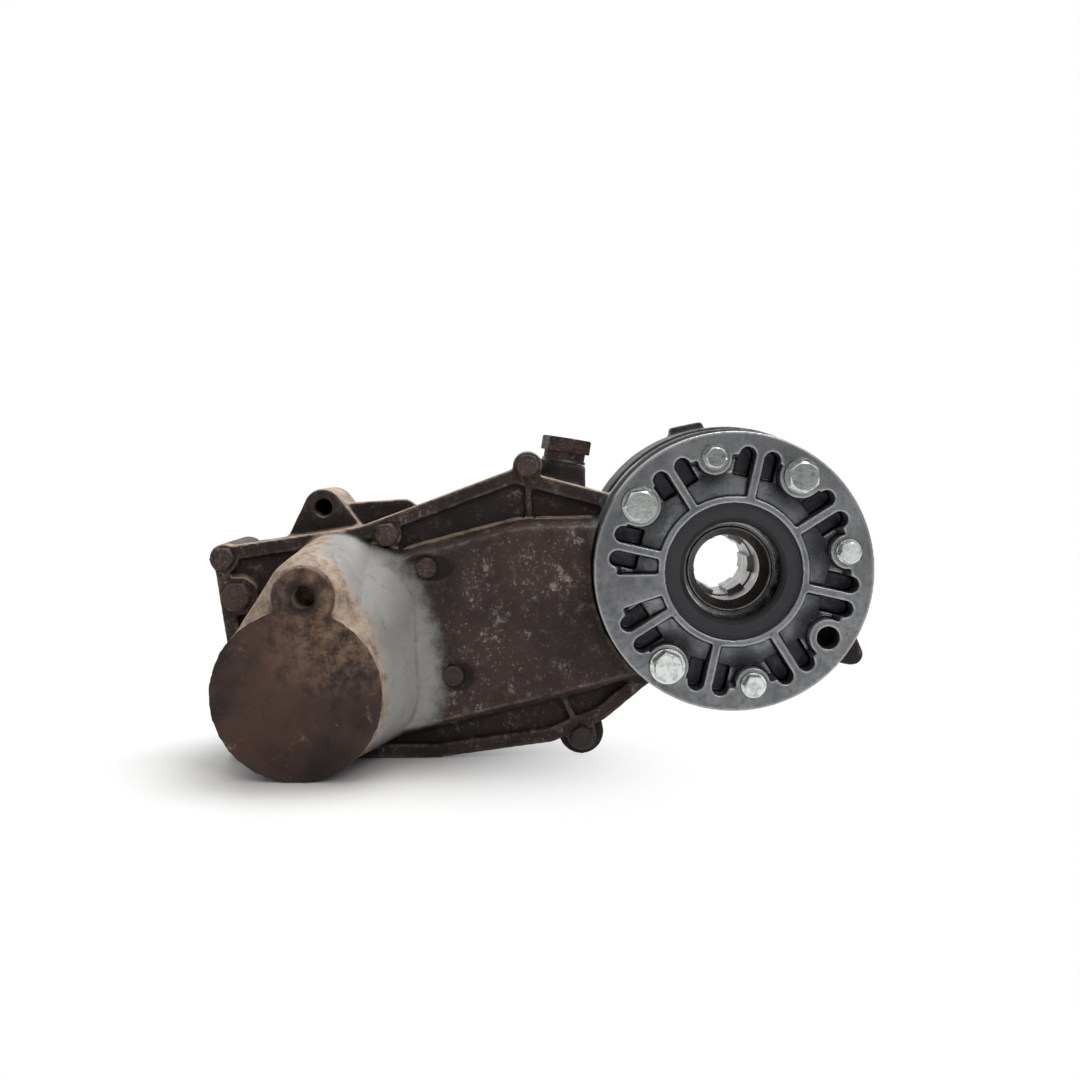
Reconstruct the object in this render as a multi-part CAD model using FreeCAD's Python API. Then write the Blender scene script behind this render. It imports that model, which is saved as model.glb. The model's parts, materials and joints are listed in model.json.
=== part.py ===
"""Chain-driven transfer case with a viscous coupling in a closed tube.

The input axis is the Y axis. Y = 0 is the mounting face of the adapter plate, +Y runs to the
rear of the unit, +X to the side away from the output and +Z up. Lengths are in millimetres.
"""
import FreeCAD, Part
import math
import os

V = FreeCAD.Vector
BACK = V(0, 1, 0)

# ---- chain drive: it sets the distance between the two shafts --------------------------------
CHAIN_PITCH = 9.525
TEETH = 24
RUN_PITCHES = 25                    # pitches in each straight run
DROP_ANGLE = 195.1                  # direction of the output axis seen from the input axis
CHAIN_MID_Y = 48.0
INNER_LINK_W = 9.0
OUTER_LINK_W = 3.6                  # each of the two plates
LINK_SIDE_GAP = 0.2
PIN_R = 1.5
PIN_CLEARANCE = 0.1
LINK_BACK = 3.2                     # height of a link above its pins
TOE_DEPTH = 4.3                     # reach of a link's toes below its pins
TOOTH_GAP_ROOT = 1.3                # half width of a tooth gap at its root
TOOTH_GAP_SLOPE = 0.387
TOOTH_TIP_DROP = 1.5                # tooth tips below the pitch line
TOE_CLEARANCE = 0.15
SPROCKET_W = 16.0

SPROCKET_Y0 = CHAIN_MID_Y - SPROCKET_W / 2
PITCH_R = CHAIN_PITCH / 2 / math.sin(math.pi / TEETH)
CENTRE_DISTANCE = RUN_PITCHES * CHAIN_PITCH
OUT_X = CENTRE_DISTANCE * math.cos(math.radians(DROP_ANGLE))
OUT_Z = CENTRE_DISTANCE * math.sin(math.radians(DROP_ANGLE))
CHAIN_W = INNER_LINK_W + 2 * (OUTER_LINK_W + LINK_SIDE_GAP)
CHAIN_R = PITCH_R + LINK_BACK

# ---- casting ----------------------------------------------------------------------------------
WALL = 5.0
CHAIN_ROOM = 1.4                    # free space round the chain
CAVITY_R = CHAIN_R + CHAIN_ROOM
TUBE_WALL = 3.9
TUBE_R = CAVITY_R + TUBE_WALL       # outside of the closed tube; also the lowest line of the unit
TUBE_FACE_Y = -34.0
TUBE_END_WALL = 7.0
TUBE_BORE_R = 38.8
PART_Y = 40.0                       # joint face of the front case
GASKET_T = 0.8
RIM_FRONT_Y = 28.0
RIM_BAND = 8.0                      # width of the raised rim
RECESS_Y = 33.5                     # floor of the recesses between rim and chain cover
COVER_FACE_Y = 14.0                 # front of the chain cover
COVER_DRAFT = 6.0                   # how much wider the cover is at the recesses' floor
REAR_LIP_Y = 52.0
REAR_STEP = 3.0                     # how far the rear body stands inside the lip
REAR_WALL_Y = 94.0                  # outside of the rear wall
FLOOR_Z = OUT_Z - TUBE_R

# ---- adapter plate ----------------------------------------------------------------------------
ADAPTER_R = 75.2
ADAPTER_T = 22.0
HUB_R = 40.7
FLOOR_START_DEPTH = 3.5             # the pockets' floor slopes from the hub ring outwards
FLOOR_SLOPE_R = 53.5
FLOOR_END_R = 62.0
POCKET_DEPTH = 11.0
SLOT_W = 8.8
SLOT_START_R = 51.0
SLOT_END_R = 66.9
SLOT_DEPTH = 17.5
PAD_HALF_ANGLE = 8.5
BOSS_CIRCLE_R = 62.0
BOSS_START = 10.0
RIB_W = 4.6
REGISTER_R = 36.9                   # open mouth that locates the gearbox
REGISTER_DEPTH = 2.5
SPIGOT_R = 46.0
SPIGOT_END_Y = 37.0
SPIGOT_CLEARANCE = 0.05
O_RING_R = 1.3
O_RING_CENTRE_R = SPIGOT_R + SPIGOT_CLEARANCE - O_RING_R
O_RING_Y = 30.0
BIG_BOSS_R = 11.6
SMALL_BOSS_R = 9.4
OPEN_BOSS_R = 10.2
OPEN_HOLE_R = 6.05
BIG_BOLT_ANGLES = (55.0, 145.0, 235.0)
SMALL_BOLT_ANGLES = (10.0, 100.0, 280.0)
PAD_ANGLE = 190.0
OPEN_ANGLE = 325.0

# ---- input shaft, its bearings and seals ------------------------------------------------------
NOSE_Y = 20.0
NOSE_R = 23.7
SHAFT_BORE_R = 18.3
SPLINE_MAJOR_R = 17.6
SPLINE_MINOR_R = 15.6
SPLINE_LANDS = 6
SHAFT_SEAT_R = 25.0
SHAFT_SPROCKET_R = 27.0
SHAFT_END_Y = 104.0
IN_BEARING_OUT_R = 40.0
IN_BEARING_W = 16.0
IN_BEARING_Y = 21.0
IN_REAR_BEARING_Y = 78.0
SEAL_BORE_R = 36.5
SEAL_W = 10.5
SEAL_LIP_R = 26.2
SEAL_SPRING_R = 0.9
REAR_SEAL_W = 8.0
IN_BEARING = dict(bore_r=SHAFT_SEAT_R, out_r=IN_BEARING_OUT_R, width=IN_BEARING_W, balls=11, ball_r=4.37)
CIRCLIP_Y = SPROCKET_Y0 + SPROCKET_W
CIRCLIP_W = 1.7
CIRCLIP_DEPTH = 1.2
KEY_R = 1.5                         # round splines under the drive sprocket
SPROCKET_END_Y = CIRCLIP_Y + 6.0    # end of the shaft's widest part
SPLINE_Y0 = 58.0
SPLINE_Y1 = 98.0
REAR_POCKET_DEPTH = 7.0
REAR_HOLE_CIRCLE_R = 72.3
REAR_HOLE_R = 3.3
BARREL_R = 78.5
BARREL_END_Y = 103.0
BARREL_WALL = 6.0
REAR_SIDE_WALL = 4.5

# ---- output side ------------------------------------------------------------------------------
DRUM_R = 36.0
DRUM_WALL = 4.0
DRUM_FRONT_Y = -11.0
DRUM_END_Y = 33.0
DRUM_END_WALL = 5.0
PLATE_T = 1.2
PLATE_GAP = 0.6
PLATES = 8
HUB_OUT_R = 15.5
SHAFT_FRONT_R = 8.5
SHAFT_MID_R = 11.0
SHAFT_BUSH_R = 12.5
BUSH_OUT_R = 15.0
SPROCKET_HUB_R = 28.5
DRUM_SCREW_CIRCLE_R = 24.0
DRUM_SCREW = dict(shank_r=2.5, flat=8.0, head=3.4, flange_r=0.0, flange_t=0.0)
RUNNING = 0.05                      # radial running clearance of shafts and bushes
OUT_FRONT_BEARING = dict(bore_r=SHAFT_FRONT_R, out_r=20.0, width=12.0, balls=8, ball_r=3.37)
OUT_REAR_BEARING = dict(bore_r=SHAFT_BUSH_R, out_r=31.0, width=17.0, balls=7, ball_r=5.75)
OUT_FRONT_BEARING_Y = TUBE_FACE_Y + TUBE_END_WALL
OUT_REAR_BEARING_Y = 66.0
OUT_SEAL_R = 26.0
OUT_SEAL_W = 9.0
OUT_BOSS_END_Y = 99.0
FLANGE_HUB_R = 18.0
FLANGE_R = 44.0
FLANGE_T = 10.0
FLANGE_FACE_Y = 130.0
FLANGE_PCD = 66.0
FLANGE_HOLES = 4
FLANGE_HOLE_R = 4.25
PILOT_R = 24.0
PILOT_DEPTH = 4.0
FLANGE_SEAT_Y = 116.0               # where the nut's washer bears on the flange
SHAFT_TIP_Y = 129.0
THREAD_R = 9.5
NUT_WASHER_T = 2.5
SHIELD_R = 41.0
NUT_AF = 30.0
NUT_T = 11.0

# ---- fasteners --------------------------------------------------------------------------------
BOLT_GAP = 0.1                      # clearance of a shank in its hole, on the radius
RIM_BOLT = dict(shank_r=4.0, flat=12.0, head=6.0, flange_r=0.0, flange_t=0.0)
SMALL_BOLT = dict(shank_r=3.5, flat=10.4, head=5.6, flange_r=7.6, flange_t=1.6)
BIG_BOLT = dict(shank_r=5.0, flat=15.0, head=7.4, flange_r=10.3, flange_t=2.2)
SIDE_BOLT = dict(shank_r=5.0, flat=15.0, head=7.0, flange_r=0.0, flange_t=0.0)
SIDE_WASHER_R = 9.4
SIDE_WASHER_T = 1.8
RIM_BOLT_REACH = 26.0

# ---- places on the case, as (x, z) ------------------------------------------------------------
EAR_LEFT = (-279.5, 5.0)
EAR_LOW_LEFT = (-272.0, -96.5)
EAR_FOOT = (-80.5, -94.3)
EAR_TOP = (-110.8, 56.5)
EAR_MIDDLE = (-188.7, 18.5)
RIM_EARS = (EAR_LEFT, EAR_LOW_LEFT, EAR_FOOT, EAR_TOP, EAR_MIDDLE)
EAR_R = 8.2
SIDE_BOLT_AT = (-271.5, -15.7)
SIDE_BOSS_R = 10.8
TUBE_BOSS_AT = (-225.7, -10.7)
TUBE_BOSS_R = 15.0
TUBE_BOSS_HOLE_R = 6.0
TUBE_BOSS_DEPTH = 22.0
SHOULDER_LENGTH = 11.0              # from the tube's face to where its side is widest
SHOULDER_RISE = 5.5
BOSS_PROUD = 2.0                    # how far the boss stands in front of the tube's end
REAR_EAR_AT = (-226.8, 32.9)
REAR_EAR_R = 10.7
REAR_EAR_HOLE_R = 5.1
REAR_EAR_Y = (44.0, 96.0)
REAR_EAR_HOLE_DEPTH = 38.0
FILL_X = -90.5
FILL_Y = 63.0
FILL_TOP_Z = 58.5
FILL_LEAN = 9.0                     # tilt of the filler about Y, square to the case's top there
FILL_TURN = 14.0                    # turn of the plug's hexagon
FILL_BOSS_R = 13.0
FILL_BOSS_FOOT_R = 20.0
FILL_BOSS_H = 44.0
FILL_HEX = 25.0
FILL_NECK_R = 11.8
FILL_SHANK_R = 8.0
PLUG_WASHER_T = 1.5
DRAIN_AT = (-150.0, -84.0)
DRAIN_SHANK_R = 7.0
DRAIN_HEX = 17.0
VENT_AT = (-152.0, 16.0)
VENT_STEM_R = 3.0
REAR_PAD_T = 3.0                    # height of the pads of drain plug and vent
DIMPLES = ((-166.0, 1.0, 15.0, 7.5), (-151.5, -58.5, 11.5, 9.0))
DIMPLE_DEPTH = 3.6
CORE_PLUG_R = 4.6
MAGNET_AT = (-120.0, -70.0)
MAGNET_R = 10.0
DOWEL_R = 2.5
DOWELS_AT = ((-243.0, 12.6), (-120.0, -96.6))

# Outline of the joint face: circles (x, z, radius) met by common tangents, anticlockwise seen
# from the front; a negative radius is a hollow corner.
CASE_OUTLINE = (
    (-66.0, 31.0, 10.0),
    (-118.0, 44.5, 10.0),
    (-212.0, 53.0, -31.0),
    (-276.0, 3.0, 9.0),
    (OUT_X, OUT_Z, TUBE_R),
    (-163.0, -92.0, 14.8),
    (-100.0, -86.0, 12.0),
    (-73.0, -77.0, 9.5),
    (-45.0, -53.0, 10.0),
)
# Outline of the chain cover's raised face
COVER_OUTLINE = (
    (-40.0, -14.0, 38.0),
    (-110.0, -15.0, 38.0),
    (-186.0, -30.0, 33.0),
    (-186.0, -56.0, 33.0),
    (-90.0, -30.0, 36.0),
)


# ---- basic solids -----------------------------------------------------------------------------
def disc(radius, y0, y1, x=0.0, z=0.0):
    """Cylinder along Y."""
    return Part.makeCylinder(radius, y1 - y0, V(x, y0, z), BACK)


def ring(outer, inner, y0, y1, x=0.0, z=0.0):
    """Hollow cylinder along Y."""
    return disc(outer, y0, y1, x, z).cut(disc(inner, y0 - 1, y1 + 1, x, z))


def cone(r0, r1, y0, y1, x=0.0, z=0.0):
    """Truncated cone along Y."""
    return Part.makeCone(r0, r1, y1 - y0, V(x, y0, z), BACK)


def turned(profile, x=0.0, z=0.0):
    """Solid of revolution about the Y direction through (x, z); profile holds (radius, y)."""
    points = [V(x + r, y, z) for r, y in profile]
    face = Part.Face(Part.makePolygon(points + points[:1]))
    return face.revolve(V(x, 0, z), BACK, 360)


def fuse(shapes):
    """One shape from several."""
    shapes = list(shapes)
    whole = shapes[0].multiFuse(shapes[1:]) if len(shapes) > 1 else shapes[0]
    return whole.removeSplitter()


def polar(radius, degrees, x=0.0, z=0.0):
    """Point (x, z) at a radius and an angle from +X towards +Z."""
    turn = math.radians(degrees)
    return x + radius * math.cos(turn), z + radius * math.sin(turn)


def outline_wire(circles, y, grow=0.0):
    """Closed wire of tangent lines and arcs round circles (x, z, signed radius)."""
    rounds = [(x, z, r + grow) for x, z, r in circles]
    normals = []
    for (x0, z0, r0), (x1, z1, r1) in zip(rounds, rounds[1:] + rounds[:1]):
        length = math.hypot(x1 - x0, z1 - z0)
        dx = (x1 - x0) / length
        dz = (z1 - z0) / length
        along = (r0 - r1) / length
        across = math.sqrt(1 - along * along)
        normals.append((along * dx + across * dz, along * dz - across * dx))
    edges = []
    last = None
    for i, (x, z, r) in enumerate(rounds):
        start_n = normals[i - 1]
        end_n = normals[i]
        begin = math.atan2(start_n[1], start_n[0])
        sweep = (math.atan2(end_n[1], end_n[0]) - begin) % (2 * math.pi)
        if r < 0:
            sweep -= 2 * math.pi
        middle = begin + sweep / 2
        p0 = V(x + r * start_n[0], y, z + r * start_n[1])
        p1 = V(x + r * math.cos(middle), y, z + r * math.sin(middle))
        p2 = V(x + r * end_n[0], y, z + r * end_n[1])
        if last is not None:
            edges.append(Part.LineSegment(last, p0).toShape())
        else:
            first = p0
        edges.append(Part.Arc(p0, p1, p2).toShape())
        last = p2
    edges.append(Part.LineSegment(last, first).toShape())
    return Part.Wire(edges)


def slab(circles, y0, y1, grow=0.0):
    """Prism along Y with the outline of the circles."""
    return Part.Face(outline_wire(circles, y0, grow)).extrude(V(0, y1 - y0, 0))


def skin(front, y0, back, y1):
    """Straight-sided transition between two outlines with as many circles."""
    return Part.makeLoft([outline_wire(front, y0), outline_wire(back, y1)], True, True)


def polygon_slab(points, y0, y1):
    """Prism along Y over a polygon of (x, z) points."""
    corners = [V(x, y0, z) for x, z in points]
    face = Part.Face(Part.makePolygon(corners + corners[:1]))
    return face.extrude(V(0, y1 - y0, 0))


def bar(start, end, width, y0, y1):
    """Straight rib of a given width between two (x, z) points."""
    length = math.hypot(end[0] - start[0], end[1] - start[1])
    ux = (end[0] - start[0]) / length
    uz = (end[1] - start[1]) / length
    half = width / 2
    corners = (
        (start[0] - uz * half, start[1] + ux * half),
        (start[0] + uz * half, start[1] - ux * half),
        (end[0] + uz * half, end[1] - ux * half),
        (end[0] - uz * half, end[1] + ux * half),
    )
    return polygon_slab(corners, y0, y1)


def hexagon(flat, y0, y1, x, z, turn=0.0):
    """Hexagonal prism along Y, with a distance flat between two faces."""
    corner_r = flat / math.sqrt(3)
    return polygon_slab([polar(corner_r, turn + 60 * k, x, z) for k in range(6)], y0, y1)


def bolt_head(kind, y, x, z, turn=0.0):
    """Hexagon head, with its flange if it has one, standing forward of y; crown bevelled."""
    top = y - kind["flange_t"] - kind["head"]
    corner_r = kind["flat"] / math.sqrt(3)
    bevel = corner_r - kind["flat"] / 2 + 0.4
    crown = cone(corner_r - bevel, corner_r + kind["head"], top, top + bevel + kind["head"], x, z)
    head = hexagon(kind["flat"], top, y, x, z, turn).common(crown)
    if kind["flange_r"]:
        flange = cone(kind["flange_r"] - 0.8, kind["flange_r"], y - kind["flange_t"], y, x, z)
        head = fuse([head, flange])
    return head


def bolt(kind, y, reach, x, z, turn=0.0):
    """Bolt whose head sits on the face at y and whose shank runs back from it."""
    shank = disc(kind["shank_r"], y - 0.1, y + reach, x, z)
    return fuse([bolt_head(kind, y, x, z, turn), shank])


def bearing(bore_r, out_r, width, balls, ball_r, y, x, z):
    """Deep groove ball bearing: outer race, inner race, balls and cage."""
    pitch_r = (bore_r + out_r) / 2
    groove_r = ball_r + 0.04
    mid_y = y + width / 2
    shoulder = ball_r * 0.42
    groove = Part.makeTorus(pitch_r, groove_r, V(x, mid_y, z), BACK)
    outer = ring(out_r, pitch_r + shoulder, y, y + width, x, z).cut(groove)
    inner = ring(pitch_r - shoulder, bore_r, y, y + width, x, z).cut(groove)
    spots = [polar(pitch_r, 360.0 * k / balls, x, z) for k in range(balls)]
    spheres = [Part.makeSphere(ball_r, V(px, mid_y, pz)) for px, pz in spots]
    cage_half = ball_r * 0.3
    cage = ring(pitch_r + cage_half, pitch_r - cage_half, mid_y - ball_r - 0.8,
                mid_y + ball_r + 0.8, x, z)
    pockets = [Part.makeCylinder(ball_r + 0.12, out_r, V(x, mid_y, z), V(px - x, 0, pz - z))
               for px, pz in spots]
    return outer, inner, spheres, cage.cut(fuse(pockets))


# ---- chain drive ------------------------------------------------------------------------------
def sprocket_profile(x, z, phase):
    """Corner points of a sprocket's toothed outline; a tooth gap stands at the phase angle."""
    root_depth = TOE_DEPTH + 0.3
    tip_half = TOOTH_GAP_ROOT + (root_depth - TOOTH_TIP_DROP) * TOOTH_GAP_SLOPE
    points = []
    for k in range(TEETH):
        turn = math.radians(phase + 360.0 * k / TEETH)
        out = (math.cos(turn), math.sin(turn))
        side = (-math.sin(turn), math.cos(turn))
        for depth, half in ((TOOTH_TIP_DROP, -tip_half), (root_depth, -TOOTH_GAP_ROOT),
                            (root_depth, TOOTH_GAP_ROOT), (TOOTH_TIP_DROP, tip_half)):
            radius = PITCH_R - depth
            points.append((x + out[0] * radius + side[0] * half,
                           z + out[1] * radius + side[1] * half))
    return points


def sprocket(x, z, y0, y1):
    """Toothed wheel whose gaps stand where the chain's pins are."""
    return polygon_slab(sprocket_profile(x, z, DROP_ANGLE + 90), y0, y1)


def link_side():
    """Half outline of a link in its own axes, from the top middle round to the crotch."""
    half_turn = math.pi / TEETH
    inward = (-math.sin(half_turn), -math.cos(half_turn))
    outward = (math.cos(half_turn), -math.sin(half_turn))
    pin_x = CHAIN_PITCH / 2

    def below(depth, half):
        return (pin_x + inward[0] * depth + outward[0] * half,
                inward[1] * depth + outward[1] * half)

    def flank(depth):
        root_depth = TOE_DEPTH + 0.3
        return TOOTH_GAP_ROOT + (root_depth - depth) * TOOTH_GAP_SLOPE - TOE_CLEARANCE

    shoulder = LINK_BACK * math.sqrt(0.5)
    return (
        (pin_x, LINK_BACK),
        (pin_x + shoulder, shoulder),
        (pin_x + LINK_BACK, 0.0),
        below(1.3, min(flank(1.3), LINK_BACK - 1.2)),
        below(TOE_DEPTH, flank(TOE_DEPTH)),
        below(TOE_DEPTH, -0.5),
        (2.5, -0.8),
    )


def link_plate(y0, y1, hole_r=0.0):
    """Toothed plate of a link in its own axes, with two pin holes if a radius is given."""
    right = link_side()
    left = [(-px, pz) for px, pz in reversed(right)]
    corners = [V(px, y0, pz) for px, pz in list(right) + left]
    wires = [Part.makePolygon(corners + corners[:1])]
    if hole_r:
        for px in (-CHAIN_PITCH / 2, CHAIN_PITCH / 2):
            wires.append(Part.Wire(Part.makeCircle(hole_r, V(px, y0, 0), BACK)))
    return Part.Face(wires, "Part::FaceMakerBullseye").extrude(V(0, y1 - y0, 0))


def placed_link(link, a, b):
    """Copy of a link set between two pins, with its toes towards the inside of the loop."""
    turned_link = link.copy()
    turned_link.rotate(V(0, 0, 0), BACK, -math.degrees(math.atan2(a[1] - b[1], a[0] - b[0])))
    turned_link.translate(V((a[0] + b[0]) / 2, 0, (a[1] + b[1]) / 2))
    return turned_link


def chain_pins():
    """Pin places round the loop, starting where the chain leaves the input sprocket's top."""
    ux = math.cos(math.radians(DROP_ANGLE))
    uz = math.sin(math.radians(DROP_ANGLE))
    pins = []
    for k in range(TEETH // 2):
        pins.append(polar(PITCH_R, DROP_ANGLE + 90 + 360.0 * k / TEETH))
    start = polar(PITCH_R, DROP_ANGLE + 270)
    for k in range(RUN_PITCHES):
        pins.append((start[0] + ux * CHAIN_PITCH * k, start[1] + uz * CHAIN_PITCH * k))
    for k in range(TEETH // 2):
        pins.append(polar(PITCH_R, DROP_ANGLE - 90 + 360.0 * k / TEETH, OUT_X, OUT_Z))
    start = polar(PITCH_R, DROP_ANGLE + 90, OUT_X, OUT_Z)
    for k in range(RUN_PITCHES):
        pins.append((start[0] - ux * CHAIN_PITCH * k, start[1] - uz * CHAIN_PITCH * k))
    return pins


def chain():
    """Outer links with their pins, and inner links, alternating round both sprockets."""
    y0 = CHAIN_MID_Y - CHAIN_W / 2
    y1 = CHAIN_MID_Y + CHAIN_W / 2
    inner_link = link_plate(CHAIN_MID_Y - INNER_LINK_W / 2, CHAIN_MID_Y + INNER_LINK_W / 2,
                            PIN_R + PIN_CLEARANCE)
    rivets = [disc(PIN_R, y0 - 0.4, y1 + 0.4, px) for px in (-CHAIN_PITCH / 2, CHAIN_PITCH / 2)]
    plates = [link_plate(y0, y0 + OUTER_LINK_W), link_plate(y1 - OUTER_LINK_W, y1)]
    outer_link = fuse(plates + rivets)
    pins = chain_pins()
    inner = []
    outer = []
    for i, pin in enumerate(pins):
        following = pins[(i + 1) % len(pins)]
        if i % 2:
            inner.append(placed_link(inner_link, pin, following))
        else:
            outer.append(placed_link(outer_link, pin, following))
    return outer, inner


# ---- castings ---------------------------------------------------------------------------------
def at_filler(shape, height=0.0):
    """Shape built along +Y, stood on the filler's leaning axis at a height above its seat."""
    shape.rotate(V(0, 0, 0), V(1, 0, 0), 90)
    shape.translate(V(0, 0, height))
    shape.rotate(V(0, 0, 0), BACK, FILL_LEAN)
    shape.translate(V(FILL_X, FILL_Y, FILL_TOP_Z))
    return shape


def rim_holes(y0, y1):
    """Holes of the rim bolts."""
    return [disc(RIM_BOLT["shank_r"] + BOLT_GAP, y0, y1, x, z) for x, z in RIM_EARS]


def rim_spot_faces():
    """Room for the heads of the rim bolts in front of their ears."""
    radius = RIM_BOLT["flat"] / math.sqrt(3) + 0.5
    return [disc(radius, RIM_FRONT_Y - RIM_BOLT["head"] - 1, RIM_FRONT_Y, x, z)
            for x, z in RIM_EARS]


def adapter_holes(y0, y1):
    """Holes of the adapter's bolts, the large ones first."""
    holes = []
    for kind, angles in ((BIG_BOLT, BIG_BOLT_ANGLES), (SMALL_BOLT, SMALL_BOLT_ANGLES)):
        for degrees in angles:
            x, z = polar(BOSS_CIRCLE_R, degrees)
            holes.append(disc(kind["shank_r"] + BOLT_GAP, y0, y1, x, z))
    return holes


def flare_side(inset):
    """Outlines and their Y places for the widening on the side of the chain cover."""
    front = ((OUT_X + 8, OUT_Z + 15, 26.0 - inset), (OUT_X + 9, OUT_Z - 9, 31.0 - inset))
    back = ((OUT_X + 37, OUT_Z + 49, 30.0 - inset), (OUT_X + 33, OUT_Z - 2, 34.0 - inset))
    return front, TUBE_FACE_Y + BOSS_PROUD + inset * 1.5, back, RECESS_Y


def flare():
    """Side walls that widen from the closed tube to the rim."""
    boss_x, boss_z = TUBE_BOSS_AT
    y0 = TUBE_FACE_Y
    y1 = RECESS_Y
    end_y = y0 + BOSS_PROUD
    tube = disc(TUBE_R, end_y, y1, OUT_X, OUT_Z)
    side = skin(*flare_side(0.0))
    shoulder = ((boss_x, boss_z, TUBE_BOSS_R + SHOULDER_RISE), (OUT_X, OUT_Z, TUBE_R - 0.2))
    shoulder_y = y0 + SHOULDER_LENGTH
    nose = skin(((boss_x, boss_z, TUBE_BOSS_R - 9), (OUT_X, OUT_Z, TUBE_R - 14)), end_y,
                shoulder, shoulder_y)
    web = skin(shoulder, shoulder_y,
               ((boss_x + 11, boss_z + 5.5, 26.0), (OUT_X + 14, OUT_Z + 14, 46.0)), y1)
    boss = cone(TUBE_BOSS_R, TUBE_BOSS_R + SHOULDER_RISE, y0, shoulder_y, boss_x, boss_z)
    return fuse([tube, nose, web, side, boss])


def low_ear(y0, y1):
    """Web that carries the rim ear below the tube."""
    return slab(((*EAR_LOW_LEFT, EAR_R), (OUT_X - 6, OUT_Z - 4, TUBE_R - 16)), y0, y1)


def front_case():
    """Front casting: rim, chain cover, closed tube and the seat of the adapter."""
    rim = slab(CASE_OUTLINE, RIM_FRONT_Y, PART_Y)
    recess = slab(CASE_OUTLINE, RIM_FRONT_Y - 1, RECESS_Y, -RIM_BAND)
    foot = tuple((x, z, r + COVER_DRAFT) for x, z, r in COVER_OUTLINE)
    cover = skin(COVER_OUTLINE, COVER_FACE_Y, foot, RECESS_Y)
    seat = disc(BARREL_R - 1.5, ADAPTER_T, PART_Y)
    ears = [disc(EAR_R, RIM_FRONT_Y, PART_Y, x, z) for x, z in RIM_EARS]
    side_boss = disc(SIDE_BOSS_R, RIM_FRONT_Y, PART_Y, *SIDE_BOLT_AT)
    top_x, top_z = EAR_TOP
    foot_x, foot_z = EAR_FOOT
    ribs = [
        bar((top_x, top_z), (top_x + 1, top_z - 38), 3.4, RIM_FRONT_Y, RECESS_Y),
        bar((foot_x, foot_z), (foot_x - 16, foot_z + 34), 3.4, RIM_FRONT_Y, RECESS_Y),
    ]
    low = low_ear(RIM_FRONT_Y, PART_Y)
    solid = fuse([rim.cut(recess), flare(), cover, seat, side_boss, low] + ears + ribs)
    solid = solid.cut(disc(ADAPTER_R + 0.8, COVER_FACE_Y - 1, ADAPTER_T))
    inside = [
        slab(COVER_OUTLINE, COVER_FACE_Y + WALL, PART_Y + 1, -WALL)
        .cut(disc(ADAPTER_R + WALL, COVER_FACE_Y, PART_Y + 2)),
        disc(TUBE_BORE_R, TUBE_FACE_Y + TUBE_END_WALL, PART_Y + 1, OUT_X, OUT_Z),
        slab(chain_room(), PART_Y - 2.0, PART_Y + 1),
        skin(*flare_side(WALL)),
        disc(SPIGOT_R + SPIGOT_CLEARANCE, ADAPTER_T - 1, PART_Y + 1),
    ]
    solid = solid.cut(fuse(inside))
    pocket_r = OUT_FRONT_BEARING["out_r"]
    y0 = TUBE_FACE_Y + TUBE_END_WALL - 0.5
    solid = fuse([solid, ring(pocket_r + WALL, pocket_r, y0, OUT_FRONT_BEARING_Y + 11,
                              OUT_X, OUT_Z)])
    tools = rim_holes(RIM_FRONT_Y - 1, PART_Y + 1)
    tools += rim_spot_faces()
    tools += adapter_holes(ADAPTER_T - 1, PART_Y + 1)
    tools += [disc(DOWEL_R, PART_Y - 5, PART_Y + 1, x, z) for x, z in DOWELS_AT]
    tools.append(disc(SIDE_BOLT["shank_r"] + BOLT_GAP, RIM_FRONT_Y - 1, PART_Y + 1, *SIDE_BOLT_AT))
    tools.append(disc(TUBE_BOSS_HOLE_R, TUBE_FACE_Y - 1, TUBE_FACE_Y + TUBE_BOSS_DEPTH,
                      *TUBE_BOSS_AT))
    for x, z, half_x, half_z in DIMPLES:
        dish = Part.makeSphere(10.0, V(0, 0, 0)).toNurbs()
        scale = FreeCAD.Matrix()
        scale.scale(half_x / 10.0, DIMPLE_DEPTH / 10.0, half_z / 10.0)
        dish = dish.transformGeometry(scale)
        dish.translate(V(x, COVER_FACE_Y, z))
        tools.append(dish)
        tools.append(disc(CORE_PLUG_R, COVER_FACE_Y - 1, COVER_FACE_Y + WALL + 1, x, z))
    return solid.cut(fuse(tools))


def chain_room(grow=0.0):
    """Outline of the space that the chain runs in."""
    return ((0.0, 0.0, CAVITY_R + grow), (OUT_X, OUT_Z, CAVITY_R + grow))


def joint_lands(y0, y1, side_y1):
    """Bosses of the rim bolts and of the side bolt behind the front casting."""
    lands = [disc(EAR_R, y0, y1, x, z) for x, z in RIM_EARS[1:]]
    return lands + [disc(SIDE_BOSS_R, y0, side_y1, *SIDE_BOLT_AT)]


def rear_ear():
    """Mounting ear above the output side, its arm, and the bracket beside it."""
    x, z = REAR_EAR_AT
    y0, y1 = REAR_EAR_Y
    arm = slab(((x, z, REAR_EAR_R), (x - 9, z - 26, 14.0), (x + 16, z - 26, 14.0)), y0 + 1, y1)
    collar = disc(REAR_EAR_R, y0, y1, x, z)
    bracket = slab(((x + 46, z + 1.5, 3.0), (x + 6, z - 2, 4.0), (x + 20, z - 30, 8.0),
                    (x + 60, z - 14, 8.0)), y0 + 12, y0 + 20)
    return [arm, collar, bracket]


def rear_pockets():
    """Eight pockets in the rear face of the barrel, between its ribs."""
    y0 = BARREL_END_Y - REAR_POCKET_DEPTH
    hollow = ring(REAR_HOLE_CIRCLE_R - 7, HUB_R + 9, y0, BARREL_END_Y + 1)
    ribs = [bar((0.0, 0.0), polar(BARREL_R, BOSS_START + 45 * k), RIB_W * 1.6, y0 - 1,
                BARREL_END_Y + 2) for k in range(8)]
    return hollow.cut(fuse(ribs))


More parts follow.
